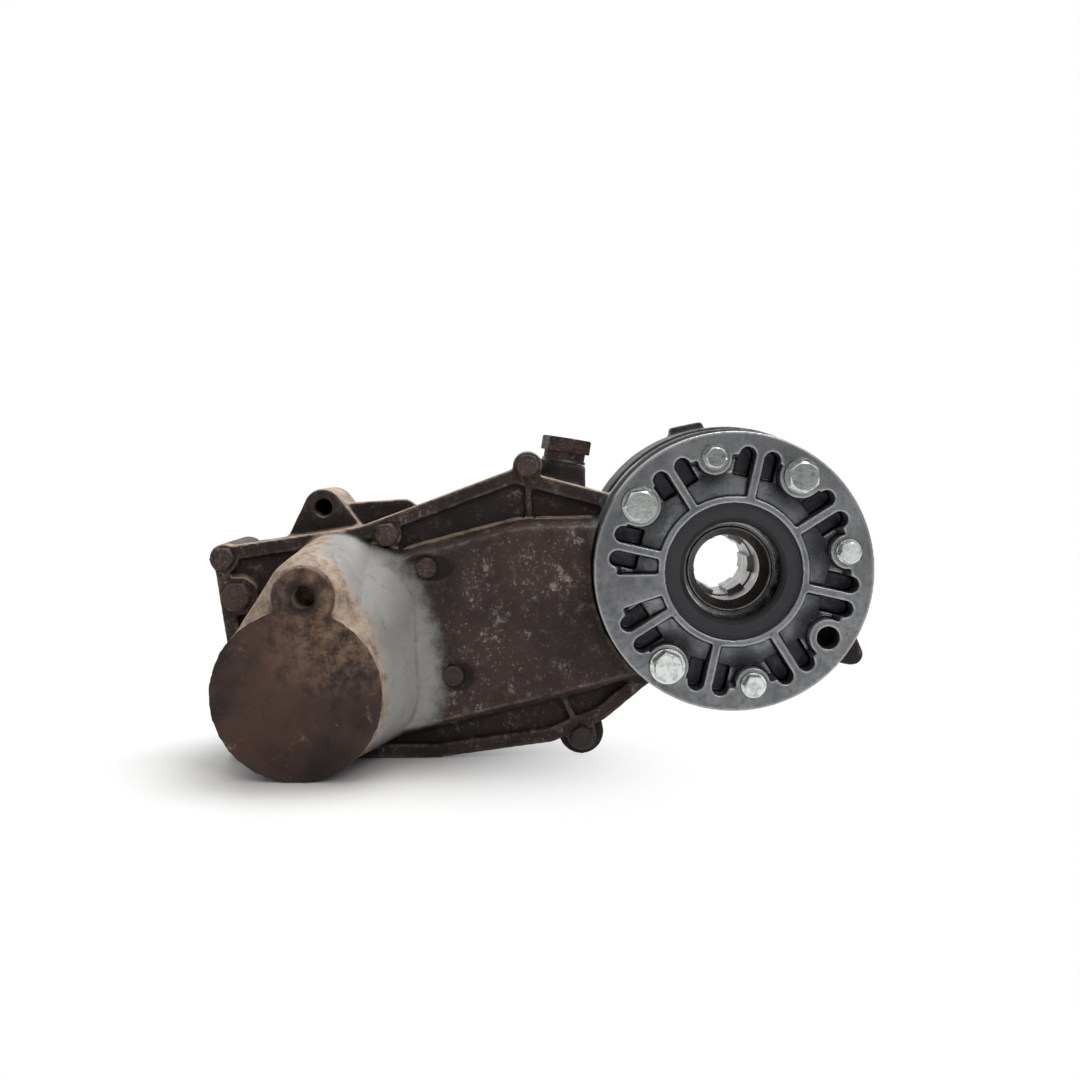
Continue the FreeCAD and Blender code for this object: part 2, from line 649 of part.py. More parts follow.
def rear_case():
    """Rear casting: deep box behind the joint face, barrel, bearing bosses, ears and feet."""
    y0 = PART_Y + GASKET_T
    chain_end = CHAIN_MID_Y + CHAIN_W / 2 + CHAIN_ROOM
    lip = slab(CASE_OUTLINE, y0, REAR_LIP_Y)
    long_boss = cone(EAR_R, EAR_R + 0.8, y0, REAR_WALL_Y + 4, *EAR_LEFT)
    body = slab(CASE_OUTLINE, REAR_LIP_Y, REAR_WALL_Y, -REAR_STEP)
    barrel = disc(BARREL_R, y0, BARREL_END_Y)
    chain_shell = disc(TUBE_R, y0, chain_end + WALL, OUT_X, OUT_Z)
    foot = disc(EAR_FOOT[1] - FLOOR_Z, y0, REAR_LIP_Y + 6, *EAR_FOOT)
    rear_foot = slab(((-96.0, FLOOR_Z + 6, 6.0), (-96.0, -76.0, 9.0)), REAR_WALL_Y - 12, REAR_WALL_Y)
    out_boss = disc(OUT_REAR_BEARING["out_r"] + 7, REAR_WALL_Y - 1, OUT_BOSS_END_Y, OUT_X, OUT_Z)
    lug = bar(polar(BARREL_R - 4, 102), polar(BARREL_R + 4, 102), 20.0, BARREL_END_Y - 14,
              BARREL_END_Y)
    side_ear = slab(((75.0, -51.5, 6.5), (58.0, -38.0, 16.0)), y0 + 10, y0 + 26)
    fill_boss = at_filler(cone(FILL_BOSS_FOOT_R, FILL_BOSS_R, -FILL_BOSS_H, 0))
    fill_boss = fill_boss.common(slab(CASE_OUTLINE, y0, REAR_WALL_Y, FILL_BOSS_H))
    pads = [disc(12.0, REAR_WALL_Y - 1, REAR_WALL_Y + REAR_PAD_T, *DRAIN_AT),
            disc(8.0, REAR_WALL_Y - 1, REAR_WALL_Y + REAR_PAD_T, *VENT_AT)]
    solid = fuse([lip, body, barrel, chain_shell, foot, rear_foot, out_boss, long_boss,
                  low_ear(y0, REAR_LIP_Y), lug, side_ear, fill_boss] + rear_ear() + pads)
    room = slab(CASE_OUTLINE, y0 - 1, REAR_WALL_Y - WALL, -REAR_STEP - REAR_SIDE_WALL)
    bowl = disc(BARREL_R - BARREL_WALL, y0 - 1, BARREL_END_Y - 12)
    solid = fuse([solid.cut(fuse([room, bowl]))] + joint_lands(y0, y0 + RIM_BOLT_REACH - 8, REAR_LIP_Y))
    solid = solid.cut(slab(chain_room(), y0 - 1, chain_end))
    in_hub = ring(IN_BEARING_OUT_R + 6, IN_BEARING_OUT_R, IN_REAR_BEARING_Y - 2, BARREL_END_Y - 8)
    out_r = OUT_REAR_BEARING["out_r"]
    out_hub = ring(out_r + 7, out_r, OUT_REAR_BEARING_Y - 2, REAR_WALL_Y, OUT_X, OUT_Z)
    solid = fuse([solid, in_hub, out_hub])
    bearing_end = OUT_REAR_BEARING_Y + OUT_REAR_BEARING["width"]
    tools = [
        disc(IN_BEARING_OUT_R, IN_REAR_BEARING_Y - 3, IN_REAR_BEARING_Y + IN_BEARING_W),
        disc(SEAL_BORE_R, BARREL_END_Y - REAR_SEAL_W, BARREL_END_Y + 1),
        disc(SEAL_LIP_R + 7, IN_REAR_BEARING_Y, BARREL_END_Y + 1),
        disc(out_r, OUT_REAR_BEARING_Y - 3, bearing_end, OUT_X, OUT_Z),
        disc(OUT_SEAL_R, OUT_BOSS_END_Y - OUT_SEAL_W, OUT_BOSS_END_Y + 1, OUT_X, OUT_Z),
        disc(OUT_SEAL_R - 3, bearing_end - 1, OUT_BOSS_END_Y + 1, OUT_X, OUT_Z),
        disc(REAR_EAR_HOLE_R, REAR_EAR_Y[0] - 1, REAR_EAR_Y[0] + REAR_EAR_HOLE_DEPTH,
             *REAR_EAR_AT),
        disc(SIDE_BOLT["shank_r"] + BOLT_GAP, y0 - 1, REAR_LIP_Y - 2, *SIDE_BOLT_AT),
        at_filler(disc(FILL_SHANK_R + BOLT_GAP, -FILL_BOSS_H - 15, 1)),
        disc(DRAIN_SHANK_R + BOLT_GAP, REAR_WALL_Y - 9, REAR_WALL_Y + 9, *DRAIN_AT),
        disc(VENT_STEM_R + BOLT_GAP, REAR_WALL_Y - 9, REAR_WALL_Y + 9, *VENT_AT),
        rear_pockets(),
    ]
    tools += rim_holes(y0 - 1, y0 + RIM_BOLT_REACH - 12)
    tools += [disc(DOWEL_R, y0 - 1, PART_Y + 8, x, z) for x, z in DOWELS_AT]
    for k in range(8):
        x, z = polar(REAR_HOLE_CIRCLE_R, BOSS_START + 45 * k)
        tools.append(disc(REAR_HOLE_R, BARREL_END_Y - 10, BARREL_END_Y + 1, x, z))
    return solid.cut(fuse(tools))


def case_gasket():
    """Flat gasket between the castings."""
    y0 = PART_Y
    y1 = PART_Y + GASKET_T
    ears = [disc(EAR_R, y0, y1, x, z) for x, z in RIM_EARS]
    sheet = fuse([slab(CASE_OUTLINE, y0, y1), disc(BARREL_R - 1.5, y0, y1), low_ear(y0, y1)] + ears)
    room = slab(CASE_OUTLINE, y0 - 1, y1 + 1, -REAR_STEP - REAR_SIDE_WALL)
    bowl = disc(BARREL_R - BARREL_WALL, y0 - 1, y1 + 1)
    sheet = fuse([sheet.cut(fuse([room, bowl]))] + joint_lands(y0, y1, y1))
    tools = [slab(chain_room(), y0 - 1, y1 + 1)]
    tools += rim_holes(y0 - 1, y1 + 1)
    tools.append(disc(SIDE_BOLT["shank_r"] + BOLT_GAP, y0 - 1, y1 + 1, *SIDE_BOLT_AT))
    tools += [disc(DOWEL_R, y0 - 1, y1 + 1, x, z) for x, z in DOWELS_AT]
    return sheet.cut(fuse(tools))


def adapter_slot(degrees, side):
    """Deep round-ended slot of the adapter beside the rib at an angle."""
    offset = side * (RIB_W + SLOT_W) / 2
    across = polar(offset, degrees + 90)
    ends = [polar(radius, degrees) for radius in (SLOT_START_R, SLOT_END_R - SLOT_W / 2)]
    start, end = [(x + across[0], z + across[1]) for x, z in ends]
    return fuse([bar(start, end, SLOT_W, -1, SLOT_DEPTH), disc(SLOT_W / 2, -1, SLOT_DEPTH, *end)])


def adapter_plate():
    """Ribbed round plate: rim, hub ring, eight places round it, and the spigot behind."""
    plate = fuse([disc(ADAPTER_R, 0, ADAPTER_T), disc(SPIGOT_R, ADAPTER_T - 1, SPIGOT_END_Y)])
    keep = []
    slots = []
    for k in range(8):
        degrees = BOSS_START + 45 * k
        rib = degrees + 22.5
        keep.append(bar(polar(HUB_R - 2, rib), polar(SLOT_END_R + 3, rib), RIB_W, 0, ADAPTER_T))
        slots += [adapter_slot(rib, side) for side in (-1, 1)]
        if degrees == PAD_ANGLE:
            keep.append(polygon_slab([polar(HUB_R - 2, degrees - PAD_HALF_ANGLE),
                                      polar(HUB_R - 2, degrees + PAD_HALF_ANGLE),
                                      polar(SLOT_END_R + 3, degrees + PAD_HALF_ANGLE),
                                      polar(SLOT_END_R + 3, degrees - PAD_HALF_ANGLE)][::-1],
                                     0, ADAPTER_T))
            continue
        boss_r = SMALL_BOSS_R
        if degrees in BIG_BOLT_ANGLES:
            boss_r = BIG_BOSS_R
        if degrees == OPEN_ANGLE:
            boss_r = OPEN_BOSS_R
        x, z = polar(BOSS_CIRCLE_R, degrees)
        keep.append(disc(boss_r, 0, ADAPTER_T, x, z))
    floor = turned(((HUB_R, -1.0), (HUB_R, FLOOR_START_DEPTH), (FLOOR_SLOPE_R, POCKET_DEPTH),
                    (FLOOR_END_R - 1.5, POCKET_DEPTH), (FLOOR_END_R + 1.0, -1.0)))
    plate = plate.cut(fuse([floor] + slots).cut(fuse(keep)))
    x, z = polar(BOSS_CIRCLE_R, OPEN_ANGLE)
    groove = ring(SPIGOT_R + 1, O_RING_CENTRE_R - O_RING_R, O_RING_Y - O_RING_R - 0.3,
                  O_RING_Y + O_RING_R + 0.3)
    bores = [
        disc(REGISTER_R, -1, REGISTER_DEPTH),
        disc(SEAL_BORE_R, 0, REGISTER_DEPTH + SEAL_W),
        disc(IN_BEARING_OUT_R - 7, 0, IN_BEARING_Y + 1),
        disc(IN_BEARING_OUT_R, IN_BEARING_Y, SPIGOT_END_Y + 1),
        disc(OPEN_HOLE_R, -1, ADAPTER_T + 1, x, z),
        groove,
    ]
    return plate.cut(fuse(bores + adapter_holes(-1, ADAPTER_T + 1)))


# ---- seals ------------------------------------------------------------------------------------
def shaft_seal(bore_r, lip_r, y, width, x=0.0, z=0.0):
    """Radial shaft seal opening to the rear: steel case, rubber body with its lip, spring."""
    span = bore_r - lip_r
    arm_r = lip_r + 0.3 * span
    inner_r = bore_r - 0.32 * span
    case = turned(((bore_r, y), (bore_r, y + width), (bore_r - 0.55 * span, y + width),
                   (bore_r - 0.55 * span, y + width - 1.2), (bore_r - 1.2, y + width - 1.2),
                   (bore_r - 1.2, y)), x, z)
    spring_y = y + width * 0.52
    spring = Part.makeTorus(arm_r + 0.4, SEAL_SPRING_R, V(x, spring_y, z), BACK)
    seat = Part.makeTorus(arm_r + 0.4, SEAL_SPRING_R + 0.02, V(x, spring_y, z), BACK)
    lip = turned(((bore_r - 1.25, y + 0.3), (bore_r - 1.25, y + width - 1.3),
                  (inner_r, y + width - 1.3), (inner_r - 0.2, y + 3.2),
                  (lip_r + 0.38 * span, y + 3.2), (arm_r, spring_y + 2.0),
                  (lip_r + 0.9, spring_y + 2.2), (lip_r, spring_y), (lip_r + 0.9, y + 2.4),
                  (lip_r + 0.26 * span, y + 0.6), (inner_r, y + 0.3)), x, z)
    return case, lip.cut(seat), spring


def facing_rear(shape, y, width):
    """The same seal turned round to open to the front."""
    return shape.mirror(V(0, y + width / 2, 0), BACK)


# ---- input shaft ------------------------------------------------------------------------------
def input_shaft():
    """Hollow shaft with a plain lead-in and six broad internal splines."""
    bearing_end = IN_BEARING_Y + IN_BEARING_W
    outside = turned((
        (0, NOSE_Y), (NOSE_R - 0.8, NOSE_Y), (NOSE_R, NOSE_Y + 0.8), (NOSE_R, IN_BEARING_Y + 0.5),
        (SHAFT_SEAT_R, IN_BEARING_Y + 0.5), (SHAFT_SEAT_R, bearing_end),
        (SHAFT_SPROCKET_R, bearing_end), (SHAFT_SPROCKET_R, SPROCKET_END_Y),
        (SHAFT_SEAT_R, SPROCKET_END_Y), (SHAFT_SEAT_R, IN_REAR_BEARING_Y + IN_BEARING_W),
        (NOSE_R, IN_REAR_BEARING_Y + IN_BEARING_W), (NOSE_R, SHAFT_END_Y), (0, SHAFT_END_Y)))
    bore = turned(((0, NOSE_Y - 1), (NOSE_R - 1.5, NOSE_Y - 1), (NOSE_R - 1.5, NOSE_Y + 1),
                   (SHAFT_BORE_R, NOSE_Y + 12), (SHAFT_BORE_R, SPLINE_Y0),
                   (SPLINE_MAJOR_R, SPLINE_Y0), (SPLINE_MAJOR_R, SHAFT_END_Y + 1),
                   (0, SHAFT_END_Y + 1)))
    lands = []
    half = 180.0 / SPLINE_LANDS * 0.52
    for k in range(SPLINE_LANDS):
        turn = 360.0 * k / SPLINE_LANDS
        lands.append(polygon_slab([polar(SPLINE_MINOR_R, turn - half), polar(SPLINE_MINOR_R, turn),
                                   polar(SPLINE_MINOR_R, turn + half),
                                   polar(SPLINE_MAJOR_R + 1, turn + half),
                                   polar(SPLINE_MAJOR_R + 1, turn - half)],
                                  SPLINE_Y0, SPLINE_Y1))
    shaft = fuse([outside.cut(bore)] + lands)
    groove = ring(SHAFT_SPROCKET_R + 1, SHAFT_SPROCKET_R - CIRCLIP_DEPTH, CIRCLIP_Y,
                  CIRCLIP_Y + CIRCLIP_W + 0.1)
    return shaft.cut(groove).cut(keyways(SHAFT_SPROCKET_R, 0.0, 0.0))


def keyways(radius, x, z):
    """Twelve spline grooves of a shaft under its sprocket."""
    grooves = []
    for k in range(12):
        px, pz = polar(radius, DROP_ANGLE + 30.0 * k, x, z)
        grooves.append(disc(KEY_R + 0.1, SPROCKET_Y0 - 0.5, CIRCLIP_Y, px, pz))
    return fuse(grooves)


def drive_sprocket():
    """Chain wheel of the input shaft, keyed by splines."""
    y1 = SPROCKET_Y0 + SPROCKET_W
    wheel = sprocket(0.0, 0.0, SPROCKET_Y0, y1)
    teeth = []
    for k in range(12):
        px, pz = polar(SHAFT_SPROCKET_R, DROP_ANGLE + 30.0 * k)
        teeth.append(disc(KEY_R, SPROCKET_Y0, y1, px, pz))
    return fuse([wheel.cut(disc(SHAFT_SPROCKET_R + 0.02, SPROCKET_Y0 - 1, y1 + 1))] + teeth)


def snap_ring(outer, inner, y, width, gap_angle, x=0.0, z=0.0):
    """Open spring ring with a slot at an angle."""
    slot = bar(polar(inner - 3, gap_angle, x, z), polar(outer + 3, gap_angle, x, z), 7.0, y - 1,
               y + width + 1)
    return ring(outer, inner, y, y + width, x, z).cut(slot)


# ---- output side ------------------------------------------------------------------------------
def driven_sprocket():
    """Chain wheel of the output side, with the hub that drives the coupling drum."""
    y1 = SPROCKET_Y0 + SPROCKET_W
    wheel = sprocket(OUT_X, OUT_Z, SPROCKET_Y0, y1)
    hub = disc(SPROCKET_HUB_R, DRUM_END_Y, y1 + 1.5, OUT_X, OUT_Z)
    bore = disc(BUSH_OUT_R, DRUM_END_Y - 1, y1 + 3, OUT_X, OUT_Z)
    return fuse([wheel, hub]).cut(fuse([bore] + drum_screw_holes()))


def drum_screw_spots():
    """Places of the screws that join the driven sprocket to the drum."""
    return [polar(DRUM_SCREW_CIRCLE_R, 60.0 * k, OUT_X, OUT_Z) for k in range(6)]


def drum_screw_holes():
    """Holes of those screws, through the sprocket and the drum's rear wall."""
    y1 = SPROCKET_Y0 + SPROCKET_W + 3
    radius = DRUM_SCREW["shank_r"] + BOLT_GAP
    return [disc(radius, DRUM_END_Y - DRUM_END_WALL - 1, y1, x, z) for x, z in drum_screw_spots()]


def drum_screws():
    """Screws with their heads on the rear face of the driven sprocket."""
    face_y = SPROCKET_Y0 + SPROCKET_W + 1.5
    screws = []
    for x, z in drum_screw_spots():
        screw = bolt(DRUM_SCREW, face_y, face_y - DRUM_END_Y + DRUM_END_WALL - 0.5, x, z)
        screws.append(screw.mirror(V(0, face_y, 0), BACK))
    return screws


def coupling_drum():
    """Drum of the viscous coupling: shell with inner splines and its rear wall."""
    shell = ring(DRUM_R, DRUM_R - DRUM_WALL, DRUM_FRONT_Y, DRUM_END_Y, OUT_X, OUT_Z)
    wall = ring(DRUM_R - 1, BUSH_OUT_R + 1.2, DRUM_END_Y - DRUM_END_WALL, DRUM_END_Y, OUT_X, OUT_Z)
    recess = ring(DRUM_R - DRUM_WALL + 1.5, DRUM_R - DRUM_WALL - 1, DRUM_FRONT_Y - 1,
                  DRUM_FRONT_Y + DRUM_END_WALL, OUT_X, OUT_Z)
    return fuse([shell, wall]).cut(fuse([recess, drum_splines(1.3, DRUM_FRONT_Y)]
                                        + drum_screw_holes()))


def drum_splines(radius, y0):
    """Round grooves in the drum's bore, or the teeth that fill them."""
    spots = [polar(DRUM_R - DRUM_WALL, 30.0 * k, OUT_X, OUT_Z) for k in range(12)]
    return fuse([disc(radius, y0, DRUM_END_Y - DRUM_END_WALL, x, z) for x, z in spots])


def coupling_cover():
    """Front lid of the drum, held by a snap ring's shoulder."""
    outer = DRUM_R - DRUM_WALL + 1.45
    return ring(outer, HUB_OUT_R + 0.4, DRUM_FRONT_Y, DRUM_FRONT_Y + DRUM_END_WALL - 0.1,
                OUT_X, OUT_Z)


def plate_stack():
    """Outer plates splined to the drum and inner plates splined to the hub, in turn."""
    outer = []
    inner = []
    pitch = PLATE_T + PLATE_GAP
    y = DRUM_FRONT_Y + DRUM_END_WALL + PLATE_GAP
    rim_r = DRUM_R - DRUM_WALL - 0.1
    teeth = drum_splines(1.2, DRUM_FRONT_Y)
    for k in range(2 * PLATES + 1):
        y0 = y + k * pitch
        if k % 2:
            blank = ring(rim_r, HUB_OUT_R + 1.5, y0, y0 + PLATE_T, OUT_X, OUT_Z)
            band = disc(DRUM_R, y0, y0 + PLATE_T, OUT_X, OUT_Z)
            slots = fuse([bar(polar(HUB_OUT_R + 5, 45.0 * n, OUT_X, OUT_Z),
                              polar(rim_r - 4, 45.0 * n, OUT_X, OUT_Z), 1.6, y0 - 1,
                              y0 + PLATE_T + 1) for n in range(8)])
            outer.append(fuse([blank, teeth.common(band)]).cut(slots))
        else:
            holes = fuse([disc(1.8, y0 - 1, y0 + PLATE_T + 1,
                               *polar(rim_r - 7, 30.0 * n, OUT_X, OUT_Z)) for n in range(12)])
            inner.append(ring(rim_r - 2, HUB_OUT_R + 0.05, y0, y0 + PLATE_T, OUT_X, OUT_Z)
                         .cut(holes))
    return outer, inner


def coupling_hub():
    """Inner hub of the coupling, pressed on the output shaft."""
    return ring(HUB_OUT_R, SHAFT_MID_R, DRUM_FRONT_Y - 1.5, DRUM_END_Y - DRUM_END_WALL - 0.4,
                OUT_X, OUT_Z)


def output_shaft():
    """Stepped output shaft from the blind bearing in the tube to the flange nut."""
    bush_y = DRUM_END_Y - DRUM_END_WALL - 0.2
    front_end = OUT_FRONT_BEARING_Y + OUT_FRONT_BEARING["width"]
    rear_end = OUT_REAR_BEARING_Y + OUT_REAR_BEARING["width"]
    return turned((
        (0, OUT_FRONT_BEARING_Y + 0.3), (SHAFT_FRONT_R - 0.8, OUT_FRONT_BEARING_Y + 0.3),
        (SHAFT_FRONT_R, OUT_FRONT_BEARING_Y + 1.1),
        (SHAFT_FRONT_R, front_end), (SHAFT_MID_R, front_end),
        (SHAFT_MID_R, bush_y), (SHAFT_BUSH_R, bush_y), (SHAFT_BUSH_R, rear_end),
        (SHAFT_MID_R, rear_end), (SHAFT_MID_R, FLANGE_SEAT_Y - 1),
        (THREAD_R, FLANGE_SEAT_Y - 1), (THREAD_R, SHAFT_TIP_Y - 1.2),
        (THREAD_R - 1, SHAFT_TIP_Y), (0, SHAFT_TIP_Y)), OUT_X, OUT_Z)


def output_flange():
    """Companion flange: hub that runs in the seal, disc with a pilot recess and four holes."""
    y0 = OUT_REAR_BEARING_Y + OUT_REAR_BEARING["width"]
    back = FLANGE_FACE_Y - FLANGE_T
    body = turned((
        (SHAFT_MID_R, y0), (FLANGE_HUB_R - 1, y0), (FLANGE_HUB_R, y0 + 1), (FLANGE_HUB_R, back - 9),
        (FLANGE_HUB_R + 5, back - 4), (FLANGE_HUB_R + 9, back), (FLANGE_R - 0.8, back),
        (FLANGE_R, back + 0.8), (FLANGE_R, FLANGE_FACE_Y - 0.8), (FLANGE_R - 0.8, FLANGE_FACE_Y),
        (PILOT_R, FLANGE_FACE_Y), (PILOT_R, FLANGE_FACE_Y - PILOT_DEPTH),
        (FLANGE_HUB_R + 1.5, FLANGE_FACE_Y - PILOT_DEPTH), (FLANGE_HUB_R + 1.5, FLANGE_SEAT_Y),
        (SHAFT_MID_R, FLANGE_SEAT_Y)), OUT_X, OUT_Z)
    holes = [disc(FLANGE_HOLE_R, back - 1, FLANGE_FACE_Y + 1,
                  *polar(FLANGE_PCD / 2, 45.0 + 360.0 * k / FLANGE_HOLES, OUT_X, OUT_Z))
             for k in range(FLANGE_HOLES)]
    return body.cut(fuse(holes))


def flange_nut():
    """Hexagon nut of the flange, with a collar that is staked."""
    y0 = FLANGE_SEAT_Y + NUT_WASHER_T
    nut = hexagon(NUT_AF, y0, y0 + NUT_T - 2.5, OUT_X, OUT_Z, 11.0)
    corner_r = NUT_AF / math.sqrt(3)
    crown = cone(corner_r + NUT_T - 2.5 - 1.5, corner_r - 1.5, y0, y0 + NUT_T - 2.5, OUT_X, OUT_Z)
    collar = disc(NUT_AF / 2 - 2.2, y0 + NUT_T - 3, y0 + NUT_T, OUT_X, OUT_Z)
    bore = disc(THREAD_R + 0.02, y0 - 1, y0 + NUT_T + 1, OUT_X, OUT_Z)
    return fuse([nut.common(crown), collar]).cut(bore)


def dust_shield():
    """Pressed ring on the flange hub that throws water clear of the seal."""
    y0 = OUT_BOSS_END_Y + 1.5
    return turned((
        (FLANGE_HUB_R, y0), (FLANGE_HUB_R, y0 + 7), (FLANGE_HUB_R + 1.2, y0 + 7),
        (FLANGE_HUB_R + 1.2, y0 + 1.2), (SHIELD_R - 1.2, y0 + 1.2), (SHIELD_R - 1.2, y0 - 5),
        (SHIELD_R, y0 - 5), (SHIELD_R, y0)), OUT_X, OUT_Z)


# ---- plugs, pins and small parts --------------------------------------------------------------
def fill_plug():
    """Filler plug: wide hexagon on a short neck, above its threaded shank."""
    head = hexagon(FILL_HEX, 4.4, 12.4, 0, 0, FILL_TURN)
    corner_r = FILL_HEX / math.sqrt(3)
    head = head.common(cone(corner_r + 7.2, corner_r - 0.8, 4.4, 12.4))
    socket = disc(7.5, 8.0, 13.0)
    plug = fuse([head.cut(socket), disc(FILL_NECK_R, 0, 5), disc(FILL_SHANK_R, -13.9, 1)])
    return at_filler(plug, PLUG_WASHER_T)


def drain_plug():
    """Drain plug in its pad low on the rear wall."""
    face_y = REAR_WALL_Y + REAR_PAD_T + PLUG_WASHER_T
    head = hexagon(DRAIN_HEX, face_y, face_y + 7, *DRAIN_AT, 10.0)
    corner_r = DRAIN_HEX / math.sqrt(3)
    head = head.common(cone(corner_r + 6.2, corner_r - 0.8, face_y, face_y + 7, *DRAIN_AT))
    return fuse([head, disc(DRAIN_SHANK_R, face_y - 13, face_y + 1, *DRAIN_AT)])


def core_plugs():
    """Two small flanged plugs pressed into the dished places of the chain cover."""
    plugs = []
    for x, z, _, _ in DIMPLES:
        cap = disc(CORE_PLUG_R - 0.02, COVER_FACE_Y + 1.5, COVER_FACE_Y + WALL - 0.5, x, z)
        flange = disc(CORE_PLUG_R + 1.0, COVER_FACE_Y + 1.0, COVER_FACE_Y + 2.0, x, z)
        head = hexagon(5.4, COVER_FACE_Y + 0.2, COVER_FACE_Y + 1.5, x, z, 20.0)
        plugs.append(fuse([cap, flange, head]))
    return plugs


def vent():
    """Small vent with a cap, on its pad high on the rear wall."""
    y0 = REAR_WALL_Y + REAR_PAD_T
    stem = disc(VENT_STEM_R, y0 - 7, y0 + 6, *VENT_AT)
    collar = hexagon(9.0, y0, y0 + 3, *VENT_AT)
    cap = disc(6.0, y0 + 5, y0 + 12, *VENT_AT).cut(disc(4.8, y0 + 4, y0 + 10.5, *VENT_AT))
    spokes = bar((VENT_AT[0] - 5.4, VENT_AT[1]), (VENT_AT[0] + 5.4, VENT_AT[1]), 1.6, y0 + 5.2, y0 + 11)
    return fuse([stem, collar, cap, spokes])


def dowels():
    """Two locating pins across the joint of the castings."""
    y0 = PART_Y - 5
    return [disc(DOWEL_R, y0, PART_Y + 8, x, z) for x, z in DOWELS_AT]


def rim_bolts():
    """Bolts of the joint between the castings."""
    return [bolt(RIM_BOLT, RIM_FRONT_Y, RIM_BOLT_REACH, x, z, 17.0 * k)
            for k, (x, z) in enumerate(RIM_EARS)]


def adapter_bolts(kind, angles, reach):
    """One kind of the adapter's bolts."""
    bolts = []
    for degrees in angles:
        x, z = polar(BOSS_CIRCLE_R, degrees)
        bolts.append(bolt(kind, 0.0, reach, x, z, degrees * 1.7))
    return bolts


# ---- whole unit -------------------------------------------------------------------------------
def bearings():
    """Ball bearings by name: outer race, inner race, balls and cage. The input's two are alike."""
    places = {
        "input_bearing": (IN_BEARING, (IN_BEARING_Y, IN_REAR_BEARING_Y), 0.0, 0.0),
        "output_front_bearing": (OUT_FRONT_BEARING, (OUT_FRONT_BEARING_Y,), OUT_X, OUT_Z),
        "output_rear_bearing": (OUT_REAR_BEARING, (OUT_REAR_BEARING_Y,), OUT_X, OUT_Z),
    }
    nodes = {}
    for name, (size, starts, x, z) in places.items():
        plural = "s" if len(starts) > 1 else ""
        for y in starts:
            outer, inner, balls, cage = bearing(**size, y=y, x=x, z=z)
            nodes.setdefault(name + "_outer_race" + plural, []).append(outer)
            nodes.setdefault(name + "_inner_race" + plural, []).append(inner)
            nodes.setdefault(name + "_balls", []).extend(balls)
            nodes.setdefault(name + "_cage" + plural, []).append(cage)
    return nodes


def seals():
    """The three shaft seals by name: each gives a steel case, a rubber lip and a spring."""
    front = shaft_seal(SEAL_BORE_R, SEAL_LIP_R, REGISTER_DEPTH, SEAL_W)
    rear_y = BARREL_END_Y - REAR_SEAL_W
    rear = shaft_seal(SEAL_BORE_R, NOSE_R + RUNNING, rear_y, REAR_SEAL_W)
    out_y = OUT_BOSS_END_Y - OUT_SEAL_W
    out = shaft_seal(OUT_SEAL_R, FLANGE_HUB_R + RUNNING, out_y, OUT_SEAL_W, OUT_X, OUT_Z)
    rear = [facing_rear(piece, rear_y, REAR_SEAL_W) for piece in rear]
    out = [facing_rear(piece, out_y, OUT_SEAL_W) for piece in out]
    nodes = {}
    for name, pieces in (("input_seal", front), ("rear_seal", rear), ("output_seal", out)):
        for part, shape in zip(("case", "lip", "spring"), pieces):
            nodes[name + "_" + part] = shape
    return nodes


def castings():
    """Fixed castings, gasket and sealing ring by name."""
    return {
        "front_case": front_case(),
        "rear_case": rear_case(),
        "case_gasket": case_gasket(),
        "adapter_plate": adapter_plate(),
        "adapter_o_ring": Part.makeTorus(O_RING_CENTRE_R, O_RING_R, V(0, O_RING_Y, 0), BACK),
    }


def fasteners():
    """Bolts, washers, plugs, pins and other small fixed parts by name."""
    side_y = RIM_FRONT_Y - SIDE_WASHER_T
    drain_y = REAR_WALL_Y + REAR_PAD_T
    fill_washer = at_filler(ring(FILL_NECK_R + 0.8, FILL_SHANK_R + 0.2, 0, PLUG_WASHER_T))
    drain_washer = ring(10.0, DRAIN_SHANK_R + 0.2, drain_y, drain_y + PLUG_WASHER_T, *DRAIN_AT)
    return {
        "adapter_bolts_large": adapter_bolts(BIG_BOLT, BIG_BOLT_ANGLES, PART_Y - 4),
        "adapter_bolts_small": adapter_bolts(SMALL_BOLT, SMALL_BOLT_ANGLES, PART_Y - 6),
        "rim_bolts": rim_bolts(),
        "side_bolt": bolt(SIDE_BOLT, side_y, RIM_BOLT_REACH - 5, *SIDE_BOLT_AT),
        "side_bolt_washer": ring(SIDE_WASHER_R, SIDE_BOLT["shank_r"] + 0.3, side_y, RIM_FRONT_Y,
                                 *SIDE_BOLT_AT),
        "fill_plug": fill_plug(),
        "plug_washers": [fill_washer, drain_washer],
        "drain_plug": drain_plug(),
        "core_plugs": core_plugs(),
        "vent": vent(),
        "dowel_pins": dowels(),
        "sump_magnet": disc(MAGNET_R, REAR_WALL_Y - WALL - 4, REAR_WALL_Y - WALL, *MAGNET_AT),
    }


def input_side():
    """Turning parts on the input axis by name."""
    return {
        "input_shaft": input_shaft(),
        "drive_sprocket": drive_sprocket(),
        "input_spacer": ring(SHAFT_SPROCKET_R + 3, SHAFT_SPROCKET_R, IN_BEARING_Y + IN_BEARING_W,
                             SPROCKET_Y0),
        "sprocket_circlip": snap_ring(SHAFT_SPROCKET_R + 2.6, SHAFT_SPROCKET_R - CIRCLIP_DEPTH,
                                      CIRCLIP_Y, CIRCLIP_W, DROP_ANGLE + 15),
    }


